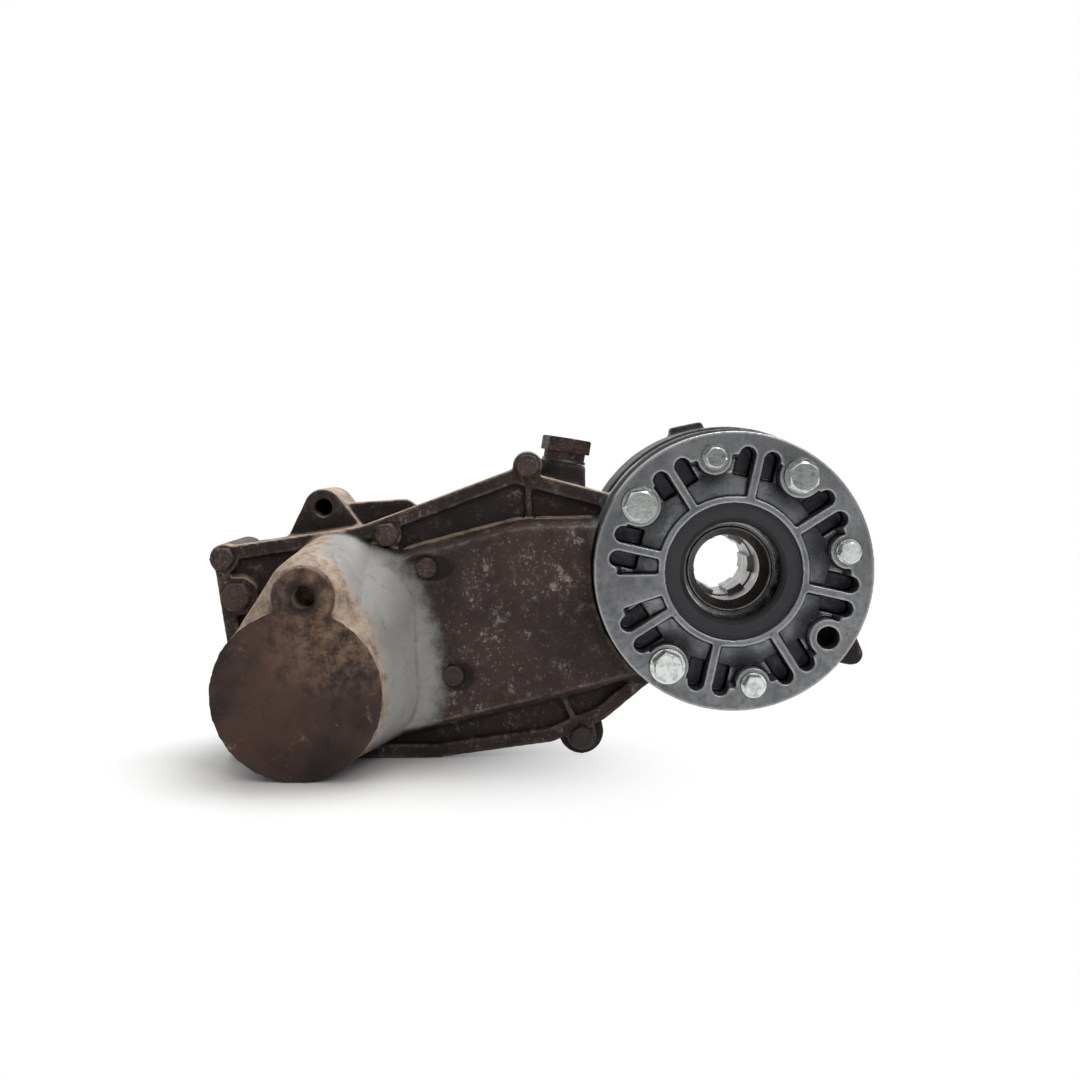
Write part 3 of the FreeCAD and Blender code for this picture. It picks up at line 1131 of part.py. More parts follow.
def output_side():
    """Turning parts on the output axis by name."""
    outer_plates, inner_plates = plate_stack()
    face_y = SPROCKET_Y0 + SPROCKET_W + 1.5
    gap_end = OUT_REAR_BEARING_Y - 5.0
    return {
        "driven_sprocket": driven_sprocket(),
        "sprocket_bush": ring(BUSH_OUT_R, SHAFT_BUSH_R + RUNNING, DRUM_END_Y + 0.2, face_y - 0.2,
                              OUT_X, OUT_Z),
        "coupling_drum": coupling_drum(),
        "drum_screws": drum_screws(),
        "coupling_cover": coupling_cover(),
        "coupling_outer_plates": outer_plates,
        "coupling_hub": coupling_hub(),
        "coupling_inner_plates": inner_plates,
        "output_shaft": output_shaft(),
        "thrust_washer": ring(SHAFT_BUSH_R + 6, SHAFT_BUSH_R, face_y + 0.2, gap_end, OUT_X, OUT_Z),
        "output_spacer": ring(SHAFT_BUSH_R + 4, SHAFT_BUSH_R, gap_end, OUT_REAR_BEARING_Y,
                              OUT_X, OUT_Z),
        "output_flange": output_flange(),
        "dust_shield": dust_shield(),
        "flange_nut": flange_nut(),
        "flange_nut_washer": ring(16.5, THREAD_R + 0.1, FLANGE_SEAT_Y, FLANGE_SEAT_Y + NUT_WASHER_T,
                                  OUT_X, OUT_Z),
    }


def build():
    """All sub-parts by node name."""
    outer_links, inner_links = chain()
    nodes = {**castings(), **fasteners(), **seals(), **bearings(), **input_side(), **output_side()}
    nodes["chain_outer_links"] = outer_links
    nodes["chain_inner_links"] = inner_links
    return nodes


def main():
    """Write one STEP file for each node."""
    os.makedirs("parts", exist_ok=True)
    for name, shape in build().items():
        if isinstance(shape, list):
            shape = Part.makeCompound(shape)
        shape.exportStep("parts/" + name + ".step")


main()
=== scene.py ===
"""Looks of the chain-driven transfer case: cast skins, finishes, stage and camera."""
import bpy
import json
import math
import numpy as np
from bpy.props import FloatProperty, FloatVectorProperty, IntProperty, PointerProperty
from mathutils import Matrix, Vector


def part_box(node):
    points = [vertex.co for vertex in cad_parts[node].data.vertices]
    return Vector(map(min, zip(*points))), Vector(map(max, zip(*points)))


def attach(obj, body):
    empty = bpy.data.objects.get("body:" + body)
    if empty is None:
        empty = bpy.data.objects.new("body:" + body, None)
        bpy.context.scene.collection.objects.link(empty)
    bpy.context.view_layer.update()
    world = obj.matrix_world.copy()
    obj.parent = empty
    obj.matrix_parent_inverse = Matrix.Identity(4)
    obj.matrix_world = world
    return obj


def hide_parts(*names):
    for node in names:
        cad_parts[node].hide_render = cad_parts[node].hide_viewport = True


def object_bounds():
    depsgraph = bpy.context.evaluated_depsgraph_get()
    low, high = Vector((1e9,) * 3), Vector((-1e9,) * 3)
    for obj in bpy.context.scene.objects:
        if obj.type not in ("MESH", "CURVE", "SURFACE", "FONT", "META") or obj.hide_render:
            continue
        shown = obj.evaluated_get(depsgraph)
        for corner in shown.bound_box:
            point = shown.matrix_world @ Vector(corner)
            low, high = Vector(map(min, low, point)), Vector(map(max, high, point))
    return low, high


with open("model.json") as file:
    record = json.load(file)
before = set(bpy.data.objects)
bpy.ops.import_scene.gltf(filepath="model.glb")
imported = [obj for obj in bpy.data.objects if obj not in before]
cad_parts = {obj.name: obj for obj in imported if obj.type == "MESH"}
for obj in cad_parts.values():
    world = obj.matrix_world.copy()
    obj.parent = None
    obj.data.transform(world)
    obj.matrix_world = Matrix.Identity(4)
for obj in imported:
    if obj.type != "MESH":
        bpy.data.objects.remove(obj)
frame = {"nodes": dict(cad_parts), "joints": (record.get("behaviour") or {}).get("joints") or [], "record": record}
CAD_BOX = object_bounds()

bl_info = {
    "name": "Transfer Case Looks",
    "version": (1, 0, 0),
    "blender": (4, 5, 0),
    "location": "View3D > Sidebar > Transfer Case",
    "description": "Cast skins, finishes and a studio for the chain-driven transfer case",
    "category": "Object",
}

MM = 0.001


def linear(code):
    """Linear colour with alpha from an sRGB hex code."""
    channels = [int(code[i:i + 2], 16) / 255 for i in (1, 3, 5)]
    return tuple(c / 12.92 if c <= 0.04045 else ((c + 0.055) / 1.055) ** 2.4
                 for c in channels) + (1.0,)


def colour(code, name, description):
    """Colour property whose default is an sRGB hex code."""
    return FloatVectorProperty(name=name, description=description, subtype="COLOR", size=4,
                               min=0.0, max=1.0, default=linear(code))


def length(value_mm, name, description):
    """Length property whose default is in millimetres."""
    return FloatProperty(name=name, description=description, subtype="DISTANCE", unit="LENGTH",
                         min=0.0, precision=5, default=value_mm * MM)


# ---- what a user may change -------------------------------------------------------------------
class CastingSettings(bpy.types.PropertyGroup):
    """Skins and colours of the two aged castings"""
    front_voxel: length(0.8, "Front grid", "Grid size of the front casting's skin")
    rear_voxel: length(1.0, "Rear grid", "Grid size of the rear casting's skin")
    rounding: IntProperty(name="Rounding", description="Smoothing passes that round the cast edges",
                          default=14, min=0, max=60)
    relief: length(0.4, "Relief", "Depth of the uneven cast surface")
    pitting: length(0.9, "Pitting", "Depth of the corroded pits on the tube's end")
    # Black is also the colour of the painted shade in creases and recesses.
    black: colour("#1b1718", "Black grime", "Oil and dirt in the deepest parts")
    dark: colour("#2a201f", "Dark grime", "Baked oil in the sheltered parts")
    brown: colour("#43332e", "Brown", "Heat-browned aluminium")
    bloom: colour("#a39a93", "Bloom", "Pale corrosion specks")
    scuffed: colour("#7d6f66", "Scuffed edge", "Aluminium that shows on worn edges")
    bare: colour("#58585b", "Bare metal", "Grey metal round the adapter's seat")
    # Whitish skin colour, laid partly as painted light from above.
    paint: colour("#9d9c98", "Pale skin", "Pale grey skin on the tube's side")
    paint_dark: colour("#6d6663", "Worn skin", "Pale skin where it has worn and stained")
    clay: colour("#b7a08c", "Clay", "Tan road dust")
    clay_dark: colour("#6f5c50", "Damp clay", "Road dust soaked with oil")
    rust: colour("#4d372f", "Tube end", "Brown crust on the tube's end")
    ochre: colour("#866a56", "Ochre", "Pale brown patches of the crust")


class AdapterSettings(bpy.types.PropertyGroup):
    """Skin and colours of the adapter plate"""
    voxel: length(0.55, "Grid", "Grid size of the plate's skin")
    rounding: IntProperty(name="Rounding", description="Smoothing passes that round the cast edges",
                          default=8, min=0, max=40)
    relief: length(0.10, "Relief", "Depth of the uneven cast surface")
    metal: colour("#8a8b8d", "Blasted metal", "Blasted die-cast aluminium")
    shade: colour("#5d5e61", "Shaded metal", "Metal with grey dust in its pockets")
    # Colour of the painted shade in the pockets and creases.
    dark: colour("#2b2b2f", "Deep pockets", "Grease and dust deep in the pockets")
    # Colour of the painted highlight on the plate's edges.
    bright: colour("#b4b6b7", "Edges", "Metal that shows on its edges")


class MetalSettings(bpy.types.PropertyGroup):
    """Colours of steel, zinc, bearings and chain"""
    zinc: colour("#dde0dd", "Zinc", "Bright zinc plate")
    zinc_dull: colour("#989d99", "Dull zinc", "Zinc plate that has dulled")
    steel: colour("#757371", "Machined steel", "Oiled turned steel")
    ground: colour("#b9b9b7", "Ground steel", "Ground bearing steel")
    chain: colour("#4b4a4b", "Chain steel", "Dark hardened steel")
    rust: colour("#4b362e", "Rust", "Brown rust")
    rust_dark: colour("#242021", "Oily rust", "Rust soaked in old oil")
    rust_pale: colour("#8a776b", "Dusty rust", "Road dust on rust")
    soft: colour("#77726e", "Soft aluminium", "Sealing washers")
    bronze: colour("#8c6b3f", "Bronze", "Sintered bronze bush")
    ferrite: colour("#3a3a3b", "Ferrite", "Grey magnet ceramic")


class RubberSettings(bpy.types.PropertyGroup):
    """Colours of the seals and the gasket"""
    rubber: colour("#202125", "Rubber", "Nitrile rubber")
    dust: colour("#323337", "Dust", "Pale dust on the rubber")
    gasket: colour("#4a4643", "Gasket", "Coated gasket sheet")


class StageSettings(bpy.types.PropertyGroup):
    """Floor, lamps and camera"""
    lens: FloatProperty(name="Lens", description="Focal length on a 36 mm wide frame",
                        default=46.667, min=10.0, max=200.0)
    camera_tilt: FloatProperty(name="Camera tilt", description="How far the camera looks down",
                               subtype="ANGLE", default=math.radians(3.27))
    floor: colour("#f4f4f3", "Floor", "Matt white table")
    floor_reach: length(6000.0, "Floor size", "Side of the square floor")
    top_power: FloatProperty(name="Top lamp", description="Power of the large lamp overhead",
                             subtype="POWER", default=19.0, min=0.0)
    front_power: FloatProperty(name="Front lamp", description="Power of the lamp at the front",
                               subtype="POWER", default=6.0, min=0.0)
    ambient: FloatProperty(name="Ambient", description="Strength of the white surroundings",
                           default=0.8, min=0.0)


SETTINGS = {
    "casting_looks": CastingSettings,
    "adapter_looks": AdapterSettings,
    "metal_looks": MetalSettings,
    "rubber_looks": RubberSettings,
    "stage_looks": StageSettings,
}


# ---- skins ------------------------------------------------------------------------------------
def modified(piece):
    """Replaces a piece's mesh by what its modifiers make of it."""
    seen = piece.evaluated_get(bpy.context.evaluated_depsgraph_get())
    mesh = bpy.data.meshes.new_from_object(seen)
    piece.modifiers.clear()
    piece.data = mesh


def skin_copy(name, node, voxel, rounding, keep):
    """Copy of a CAD node as one even skin with rounded edges; keep is the share of faces kept."""
    piece = bpy.data.objects.new(name, frame["nodes"][node].data.copy())
    bpy.context.scene.collection.objects.link(piece)
    remesh = piece.modifiers.new("Skin", "REMESH")
    remesh.mode = "VOXEL"
    remesh.voxel_size = voxel
    remesh.use_smooth_shade = True
    smooth = piece.modifiers.new("Rounding", "SMOOTH")
    smooth.factor = 0.5
    smooth.iterations = rounding
    if keep < 1.0:
        decimate = piece.modifiers.new("Fewer faces", "DECIMATE")
        decimate.ratio = keep
    modified(piece)
    piece.data.materials.clear()
    return piece


def uneven(piece, name, grain, depth, group="", kind="CLOUDS"):
    """Moves a skin in and out by a procedural pattern with grains of a real size."""
    pattern = bpy.data.textures.new(name, kind)
    pattern.noise_scale = grain
    displace = piece.modifiers.new(name, "DISPLACE")
    displace.texture = pattern
    displace.texture_coords = "LOCAL"
    displace.strength = depth
    displace.mid_level = 0.5
    displace.vertex_group = group
    modified(piece)


def points_of(mesh):
    """Vertex positions of a mesh as an array."""
    co = np.empty(len(mesh.vertices) * 3, np.float32)
    mesh.vertices.foreach_get("co", co)
    return co.reshape(-1, 3)


def normals_of(mesh):
    """Vertex normals of a mesh as an array."""
    normals = np.empty(len(mesh.vertices) * 3, np.float32)
    mesh.vertices.foreach_get("normal", normals)
    return normals.reshape(-1, 3)


def keep_inside(mesh, node):
    """Holds a skin within the box of its CAD node."""
    low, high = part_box(node)
    place = np.clip(points_of(mesh), np.array(low, np.float32), np.array(high, np.float32))
    mesh.vertices.foreach_set("co", place.ravel())
    mesh.update()


def ramp(values, low, high):
    """Smooth step of an array from 0 at low to 1 at high."""
    t = np.clip((values - low) / (high - low), 0.0, 1.0)
    return t * t * (3.0 - 2.0 * t)


def edge_shares(mesh, passes):
    """How far each vertex stands out (+) or lies in (-) against the skin round it."""
    co = points_of(mesh)
    normals = normals_of(mesh)
    ends = np.empty(len(mesh.edges) * 2, np.int32)
    mesh.edges.foreach_get("vertices", ends)
    a, b = ends.reshape(-1, 2).T
    count = len(co)
    degree = np.maximum(np.bincount(a, minlength=count) + np.bincount(b, minlength=count), 1)

    def spread(values):
        """Average of a value over each vertex's neighbours."""
        total = np.bincount(a, values[b], count) + np.bincount(b, values[a], count)
        return total / degree

    blurred = co.astype(np.float64)
    for _ in range(passes):
        blurred = np.stack([spread(blurred[:, k]) for k in range(3)], axis=1)
    out = np.einsum("ij,ij->i", co - blurred, normals)
    for _ in range(2):
        out = spread(out)
    return out


def keep_share(mesh, name, values):
    """Stores one number for each vertex for the materials to read."""
    attribute = mesh.attributes.new(name, "FLOAT", "POINT")
    attribute.data.foreach_set("value", np.asarray(values, np.float32))


def mark_edges(mesh, scale, passes=6):
    """Stores the edge wear and painted highlight on edges that stand out, and the painted shade in creases;
    returns the crease shade.
    """
    out = edge_shares(mesh, passes)
    # Painted shade: creases are marked for darkening, as if shade falls in them.
    sheltered = ramp(-out, 0.25 * scale, scale)
    keep_share(mesh, "worn", ramp(out, 0.25 * scale, scale))
    keep_share(mesh, "sheltered", sheltered)
    return sheltered


# ---- materials --------------------------------------------------------------------------------
def add_node(tree, kind, inputs=None, **settings):
    """Adds a node with its settings; inputs are values, or sockets to link."""
    made = tree.nodes.new(kind)
    for key, value in settings.items():
        setattr(made, key, value)
    for key, value in (inputs or {}).items():
        if isinstance(value, bpy.types.NodeSocket):
            tree.links.new(value, made.inputs[key])
        else:
            made.inputs[key].default_value = value
    return made


def new_material(name):
    """Empty material with its tree, a shader and the object coordinates."""
    material = bpy.data.materials.new(name)
    material.use_nodes = True
    tree = material.node_tree
    tree.nodes.clear()
    shader = add_node(tree, "ShaderNodeBsdfPrincipled")
    add_node(tree, "ShaderNodeOutputMaterial", {"Surface": shader.outputs[0]})
    place = add_node(tree, "ShaderNodeTexCoord").outputs["Object"]
    return material, tree, shader, place


def cloud(tree, place, size_mm, detail=3.0, rough=0.55):
    """Noise value whose patches are about a real size across."""
    return add_node(tree, "ShaderNodeTexNoise",
                    {"Vector": place, "Scale": 1.0 / (size_mm * MM), "Detail": detail,
                     "Roughness": rough}).outputs["Fac"]


def window(tree, value, low, high, to_low=0.0, to_high=1.0):
    """Maps a value's range to another, clamped."""
    return add_node(tree, "ShaderNodeMapRange",
                    {"Value": value, "From Min": low, "From Max": high, "To Min": to_low,
                     "To Max": to_high}, interpolation_type="SMOOTHSTEP").outputs[0]


def times(tree, a, b):
    """Product of two values."""
    return add_node(tree, "ShaderNodeMath", {0: a, 1: b}, operation="MULTIPLY").outputs[0]


def blend_colours(tree, share, a, b):
    """Colour between a and b by a share."""
    return add_node(tree, "ShaderNodeMix", {0: share, 6: a, 7: b}, data_type="RGBA").outputs[2]


def share_of(tree, name):
    """A number that a skin stores for each vertex."""
    return add_node(tree, "ShaderNodeAttribute", attribute_name=name).outputs["Fac"]


def grain(tree, shader, height, depth_mm, strength):
    """Fine relief that only shows in the shading."""
    bump = add_node(tree, "ShaderNodeBump",
                    {"Height": height, "Distance": depth_mm * MM, "Strength": strength})
    tree.links.new(bump.outputs[0], shader.inputs["Normal"])


def aged_cast_aluminium():
    """Sand-cast aluminium browned by heat, road dust and oil: matt, mottled, with pale specks."""
    looks = bpy.context.scene.casting_looks
    material, tree, shader, place = new_material("aged sand-cast aluminium")
    patches = cloud(tree, place, 46.0, 3.0, 0.55)
    mottle = cloud(tree, place, 8.0, 6.0, 0.72)
    veins = cloud(tree, place, 9.0, 9.0, 0.82)
    specks = cloud(tree, place, 1.9, 4.0, 0.75)
    sand = cloud(tree, place, 0.9, 3.0, 0.6)

    def layer(share, over, under):
        """Lays a colour over what is there."""
        return blend_colours(tree, share, under, tuple(over))

    def bordered(name, low, high, most=1.0):
        """A stored share whose border is broken up by the mottling."""
        ragged = add_node(tree, "ShaderNodeMath", {0: share_of(tree, name), 1: mottle},
                          operation="ADD").outputs[0]
        return window(tree, ragged, low, high, 0.0, most)

    browned = layer(window(tree, patches, 0.36, 0.64), looks.brown, tuple(looks.dark))
    browned = layer(window(tree, mottle, 0.48, 0.32, 0.0, 0.5), looks.black, browned)
    browned = layer(window(tree, mottle, 0.54, 0.74, 0.0, 0.45), looks.ochre, browned)
    scattered = window(tree, patches, 0.42, 0.58, 0.12, 1.0)
    browned = layer(times(tree, window(tree, veins, 0.545, 0.63, 0.0, 0.75), scattered),
                    looks.bloom, browned)
    browned = layer(times(tree, window(tree, specks, 0.6, 0.68, 0.0, 0.6), scattered),
                    looks.bloom, browned)
    worn = times(tree, share_of(tree, "worn"), window(tree, mottle, 0.38, 0.62, 0.05, 0.7))
    browned = layer(worn, looks.scuffed, browned)
    browned = layer(times(tree, share_of(tree, "bare"), 0.85), looks.bare, browned)
    # Painted shade: recesses, the mouth of the boss hole and the plug dimples darkened towards black.
    recess_shading = times(tree, share_of(tree, "deep"), window(tree, mottle, 0.36, 0.66, 1.0, 0.7))
    browned = layer(recess_shading, looks.black, browned)

    skin = layer(window(tree, patches, 0.42, 0.66, 0.0, 0.35), looks.paint_dark,
                 tuple(looks.paint))
    skin = layer(window(tree, mottle, 0.56, 0.72, 0.0, 0.5), looks.paint_dark, skin)
    skin = layer(window(tree, specks, 0.66, 0.72, 0.0, 0.5), looks.scuffed, skin)
    # Whitish skin, partly painted light from above on the tube's upper side.
    tone = blend_colours(tree, bordered("pale", 0.55, 1.3), browned, skin)
    clay = layer(window(tree, mottle, 0.40, 0.68, 0.0, 0.85), looks.clay_dark, tuple(looks.clay))
    tone = blend_colours(tree, bordered("dusty", 0.62, 1.35, 0.95), tone, clay)

    crust = layer(window(tree, patches, 0.34, 0.62), looks.rust, tuple(looks.dark))
    crust = layer(window(tree, mottle, 0.46, 0.34, 0.0, 0.4), looks.black, crust)
    crust = layer(times(tree, window(tree, mottle, 0.38, 0.66, 0.0, 0.9), share_of(tree, "high")),
                  looks.ochre, crust)
    crust = layer(window(tree, veins, 0.57, 0.68, 0.0, 0.6), looks.ochre, crust)
    crust = layer(window(tree, veins, 0.64, 0.72, 0.0, 0.8), looks.bloom, crust)
    tone = blend_colours(tree, share_of(tree, "crusted"), tone, crust)
    # Painted shade: creases darkened towards black.
    tone = layer(times(tree, share_of(tree, "sheltered"), 0.65), looks.black, tone)
    tree.links.new(tone, shader.inputs["Base Color"])
    tree.links.new(window(tree, mottle, 0.3, 0.7, 0.5, 0.8), shader.inputs["Roughness"])
    shader.inputs["Specular IOR Level"].default_value = 0.3
    relief = add_node(tree, "ShaderNodeMath", {0: mottle, 1: sand}, operation="ADD").outputs[0]
    grain(tree, shader, relief, 1.2, 0.6)
    return material


def blasted_die_cast_aluminium():
    """Die-cast aluminium blasted clean: even fine-grained grey, with a painted highlight on its edges and painted
    shade in its creases and pockets.
    """
    looks = bpy.context.scene.adapter_looks
    material, tree, shader, place = new_material("blasted die-cast aluminium")
    patches = cloud(tree, place, 24.0, 4.0, 0.6)
    mottle = cloud(tree, place, 3.5, 4.0, 0.65)
    sand = cloud(tree, place, 0.6, 2.0, 0.5)
    tone = blend_colours(tree, window(tree, patches, 0.35, 0.65, 0.0, 0.7), tuple(looks.metal),
                         tuple(looks.shade))
    tone = blend_colours(tree, window(tree, mottle, 0.45, 0.7, 0.0, 0.75), tone,
                         tuple(looks.shade))
    # Painted shade: creases darkened towards the pocket colour.
    tone = blend_colours(tree, times(tree, share_of(tree, "sheltered"), 0.9), tone,
                         tuple(looks.dark))
    # Painted shade in the pockets.
    tone = blend_colours(tree, times(tree, share_of(tree, "deep"), 0.85), tone, tuple(looks.dark))
    # Painted highlight: edges that stand out are brightened.
    tone = blend_colours(tree, times(tree, share_of(tree, "worn"), 0.65), tone,
                         tuple(looks.bright))
    tree.links.new(tone, shader.inputs["Base Color"])
    shader.inputs["Metallic"].default_value = 0.75
    tree.links.new(window(tree, mottle, 0.3, 0.7, 0.24, 0.46), shader.inputs["Roughness"])
    grain(tree, shader, sand, 0.15, 0.25)
    return material


def bright_zinc_plate():
    """Zinc-plated steel: bright, slightly milky metal, duller in patches."""
    looks = bpy.context.scene.metal_looks
    material, tree, shader, place = new_material("bright zinc plate")
    patches = cloud(tree, place, 5.0, 4.0, 0.65)
    fine = cloud(tree, place, 0.8, 3.0, 0.6)
    tone = blend_colours(tree, window(tree, patches, 0.45, 0.66, 0.0, 0.6), tuple(looks.zinc),
                         tuple(looks.zinc_dull))
    tree.links.new(tone, shader.inputs["Base Color"])
    shader.inputs["Metallic"].default_value = 1.0
    tree.links.new(window(tree, patches, 0.3, 0.7, 0.12, 0.26), shader.inputs["Roughness"])
    dents = add_node(tree, "ShaderNodeMath", {0: patches, 1: times(tree, fine, 0.08)},
                     operation="ADD").outputs[0]
    grain(tree, shader, dents, 0.12, 0.4)
    return material


def rusted_oily_steel():
    """Plain steel hardware, rusted brown, soaked in oil and dusted: matt and mottled."""
    looks = bpy.context.scene.metal_looks
    material, tree, shader, place = new_material("rusted oily steel")
    patches = cloud(tree, place, 9.0, 4.0, 0.65)
    specks = cloud(tree, place, 1.2, 4.0, 0.7)
    tone = blend_colours(tree, window(tree, patches, 0.36, 0.62), tuple(looks.rust_dark),
                         tuple(looks.rust))
    tone = blend_colours(tree, window(tree, specks, 0.52, 0.7, 0.0, 0.7), tone,
                         tuple(looks.rust_pale))
    # Darker towards the bottom.
    height = add_node(tree, "ShaderNodeSeparateXYZ", {0: place}).outputs["Z"]
    tone = blend_colours(tree, window(tree, height, -80 * MM, -20 * MM, 0.75, 0.0), tone,
                         tuple(looks.rust_dark))
    tree.links.new(tone, shader.inputs["Base Color"])
    shader.inputs["Metallic"].default_value = 0.2
    tree.links.new(window(tree, specks, 0.3, 0.7, 0.45, 0.75), shader.inputs["Roughness"])
    grain(tree, shader, specks, 0.2, 0.5)
    return material


def turned_metal(name, shade, roughness, metallic=1.0, spot_mm=6.0):
    """Machined metal with a thin film of oil: fine marks and a soft tone change."""
    material, tree, shader, place = new_material(name)
    patches = cloud(tree, place, spot_mm, 3.0, 0.6)
    marks = cloud(tree, place, 0.4, 2.0, 0.5)
    darker = tuple(0.55 * c for c in shade[:3]) + (1.0,)
    tone = blend_colours(tree, window(tree, patches, 0.4, 0.7, 0.0, 0.7), tuple(shade), darker)
    tree.links.new(tone, shader.inputs["Base Color"])
    shader.inputs["Metallic"].default_value = metallic
    tree.links.new(window(tree, patches, 0.3, 0.7, roughness, roughness + 0.15),
                   shader.inputs["Roughness"])
    grain(tree, shader, marks, 0.03, 0.3)
    return material


def dusty_rubber(name, shade, dust):
    """Moulded nitrile rubber: matt black-grey with pale dust in patches."""
    material, tree, shader, place = new_material(name)
    patches = cloud(tree, place, 12.0, 4.0, 0.6)
    fine = cloud(tree, place, 0.7, 2.0, 0.5)
    tone = blend_colours(tree, window(tree, patches, 0.45, 0.75, 0.0, 0.5), tuple(shade),
                         tuple(dust))
    tree.links.new(tone, shader.inputs["Base Color"])
    tree.links.new(window(tree, patches, 0.3, 0.7, 0.36, 0.6), shader.inputs["Roughness"])
    grain(tree, shader, fine, 0.04, 0.3)
    return material


def slot_materials():
    """Material of each slot of the record."""
    metal = bpy.context.scene.metal_looks
    rubber = bpy.context.scene.rubber_looks
    return {
        "aged_cast_aluminium": aged_cast_aluminium(),
        "clean_cast_aluminium": blasted_die_cast_aluminium(),
        "zinc_plated_steel": bright_zinc_plate(),
        "rusted_steel": rusted_oily_steel(),
        "machined_steel": turned_metal("oiled turned steel", metal.steel, 0.2),
        "bearing_steel": turned_metal("ground bearing steel", metal.ground, 0.16),
        "hardened_chain_steel": turned_metal("hardened chain steel", metal.chain, 0.35),
        "soft_aluminium": turned_metal("soft sealing aluminium", metal.soft, 0.35),
        "sintered_bronze": turned_metal("sintered bronze", metal.bronze, 0.45, spot_mm=2.0),
        "ferrite": turned_metal("magnet ferrite", metal.ferrite, 0.6, metallic=0.0),
        "seal_rubber": dusty_rubber("nitrile rubber", rubber.rubber, rubber.dust),
        "gasket_rubber": dusty_rubber("coated gasket sheet", rubber.gasket, rubber.dust),
    }


MADE = {}


def material_for(slot):
    """Material of a slot, made once."""
    if not MADE:
        MADE.update(slot_materials())
    return MADE[slot]


SLOT_OF = {part["node"]: part["material_slot"] for part in frame["record"]["subparts"]}


def dress(*nodes):
    """Gives CAD nodes the material of their slot."""
    for name in nodes:
        mesh = frame["nodes"][name].data
        mesh.materials.clear()
        mesh.materials.append(material_for(SLOT_OF[name]))


def settle(piece, node):
    """Makes a skin stand for its CAD node, on the same body and with the same slot."""
    piece.data.materials.append(material_for(SLOT_OF[node]))
    body = next(b for b, names in frame["record"]["behaviour"]["bodies"].items() if node in names)
    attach(piece, body)
    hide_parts(node)


def axis_of(joint):
    """X and Z of a joint's axis, which runs along Y."""
    place = next(j["pos_m"] for j in frame["joints"] if j["name"] == joint)
    return place[0], place[2]


def mount_at(name):
    """Place of a mount, from the record."""
    return next(mount["pos_m"] for mount in frame["record"]["mounts"] if mount["name"] == name)


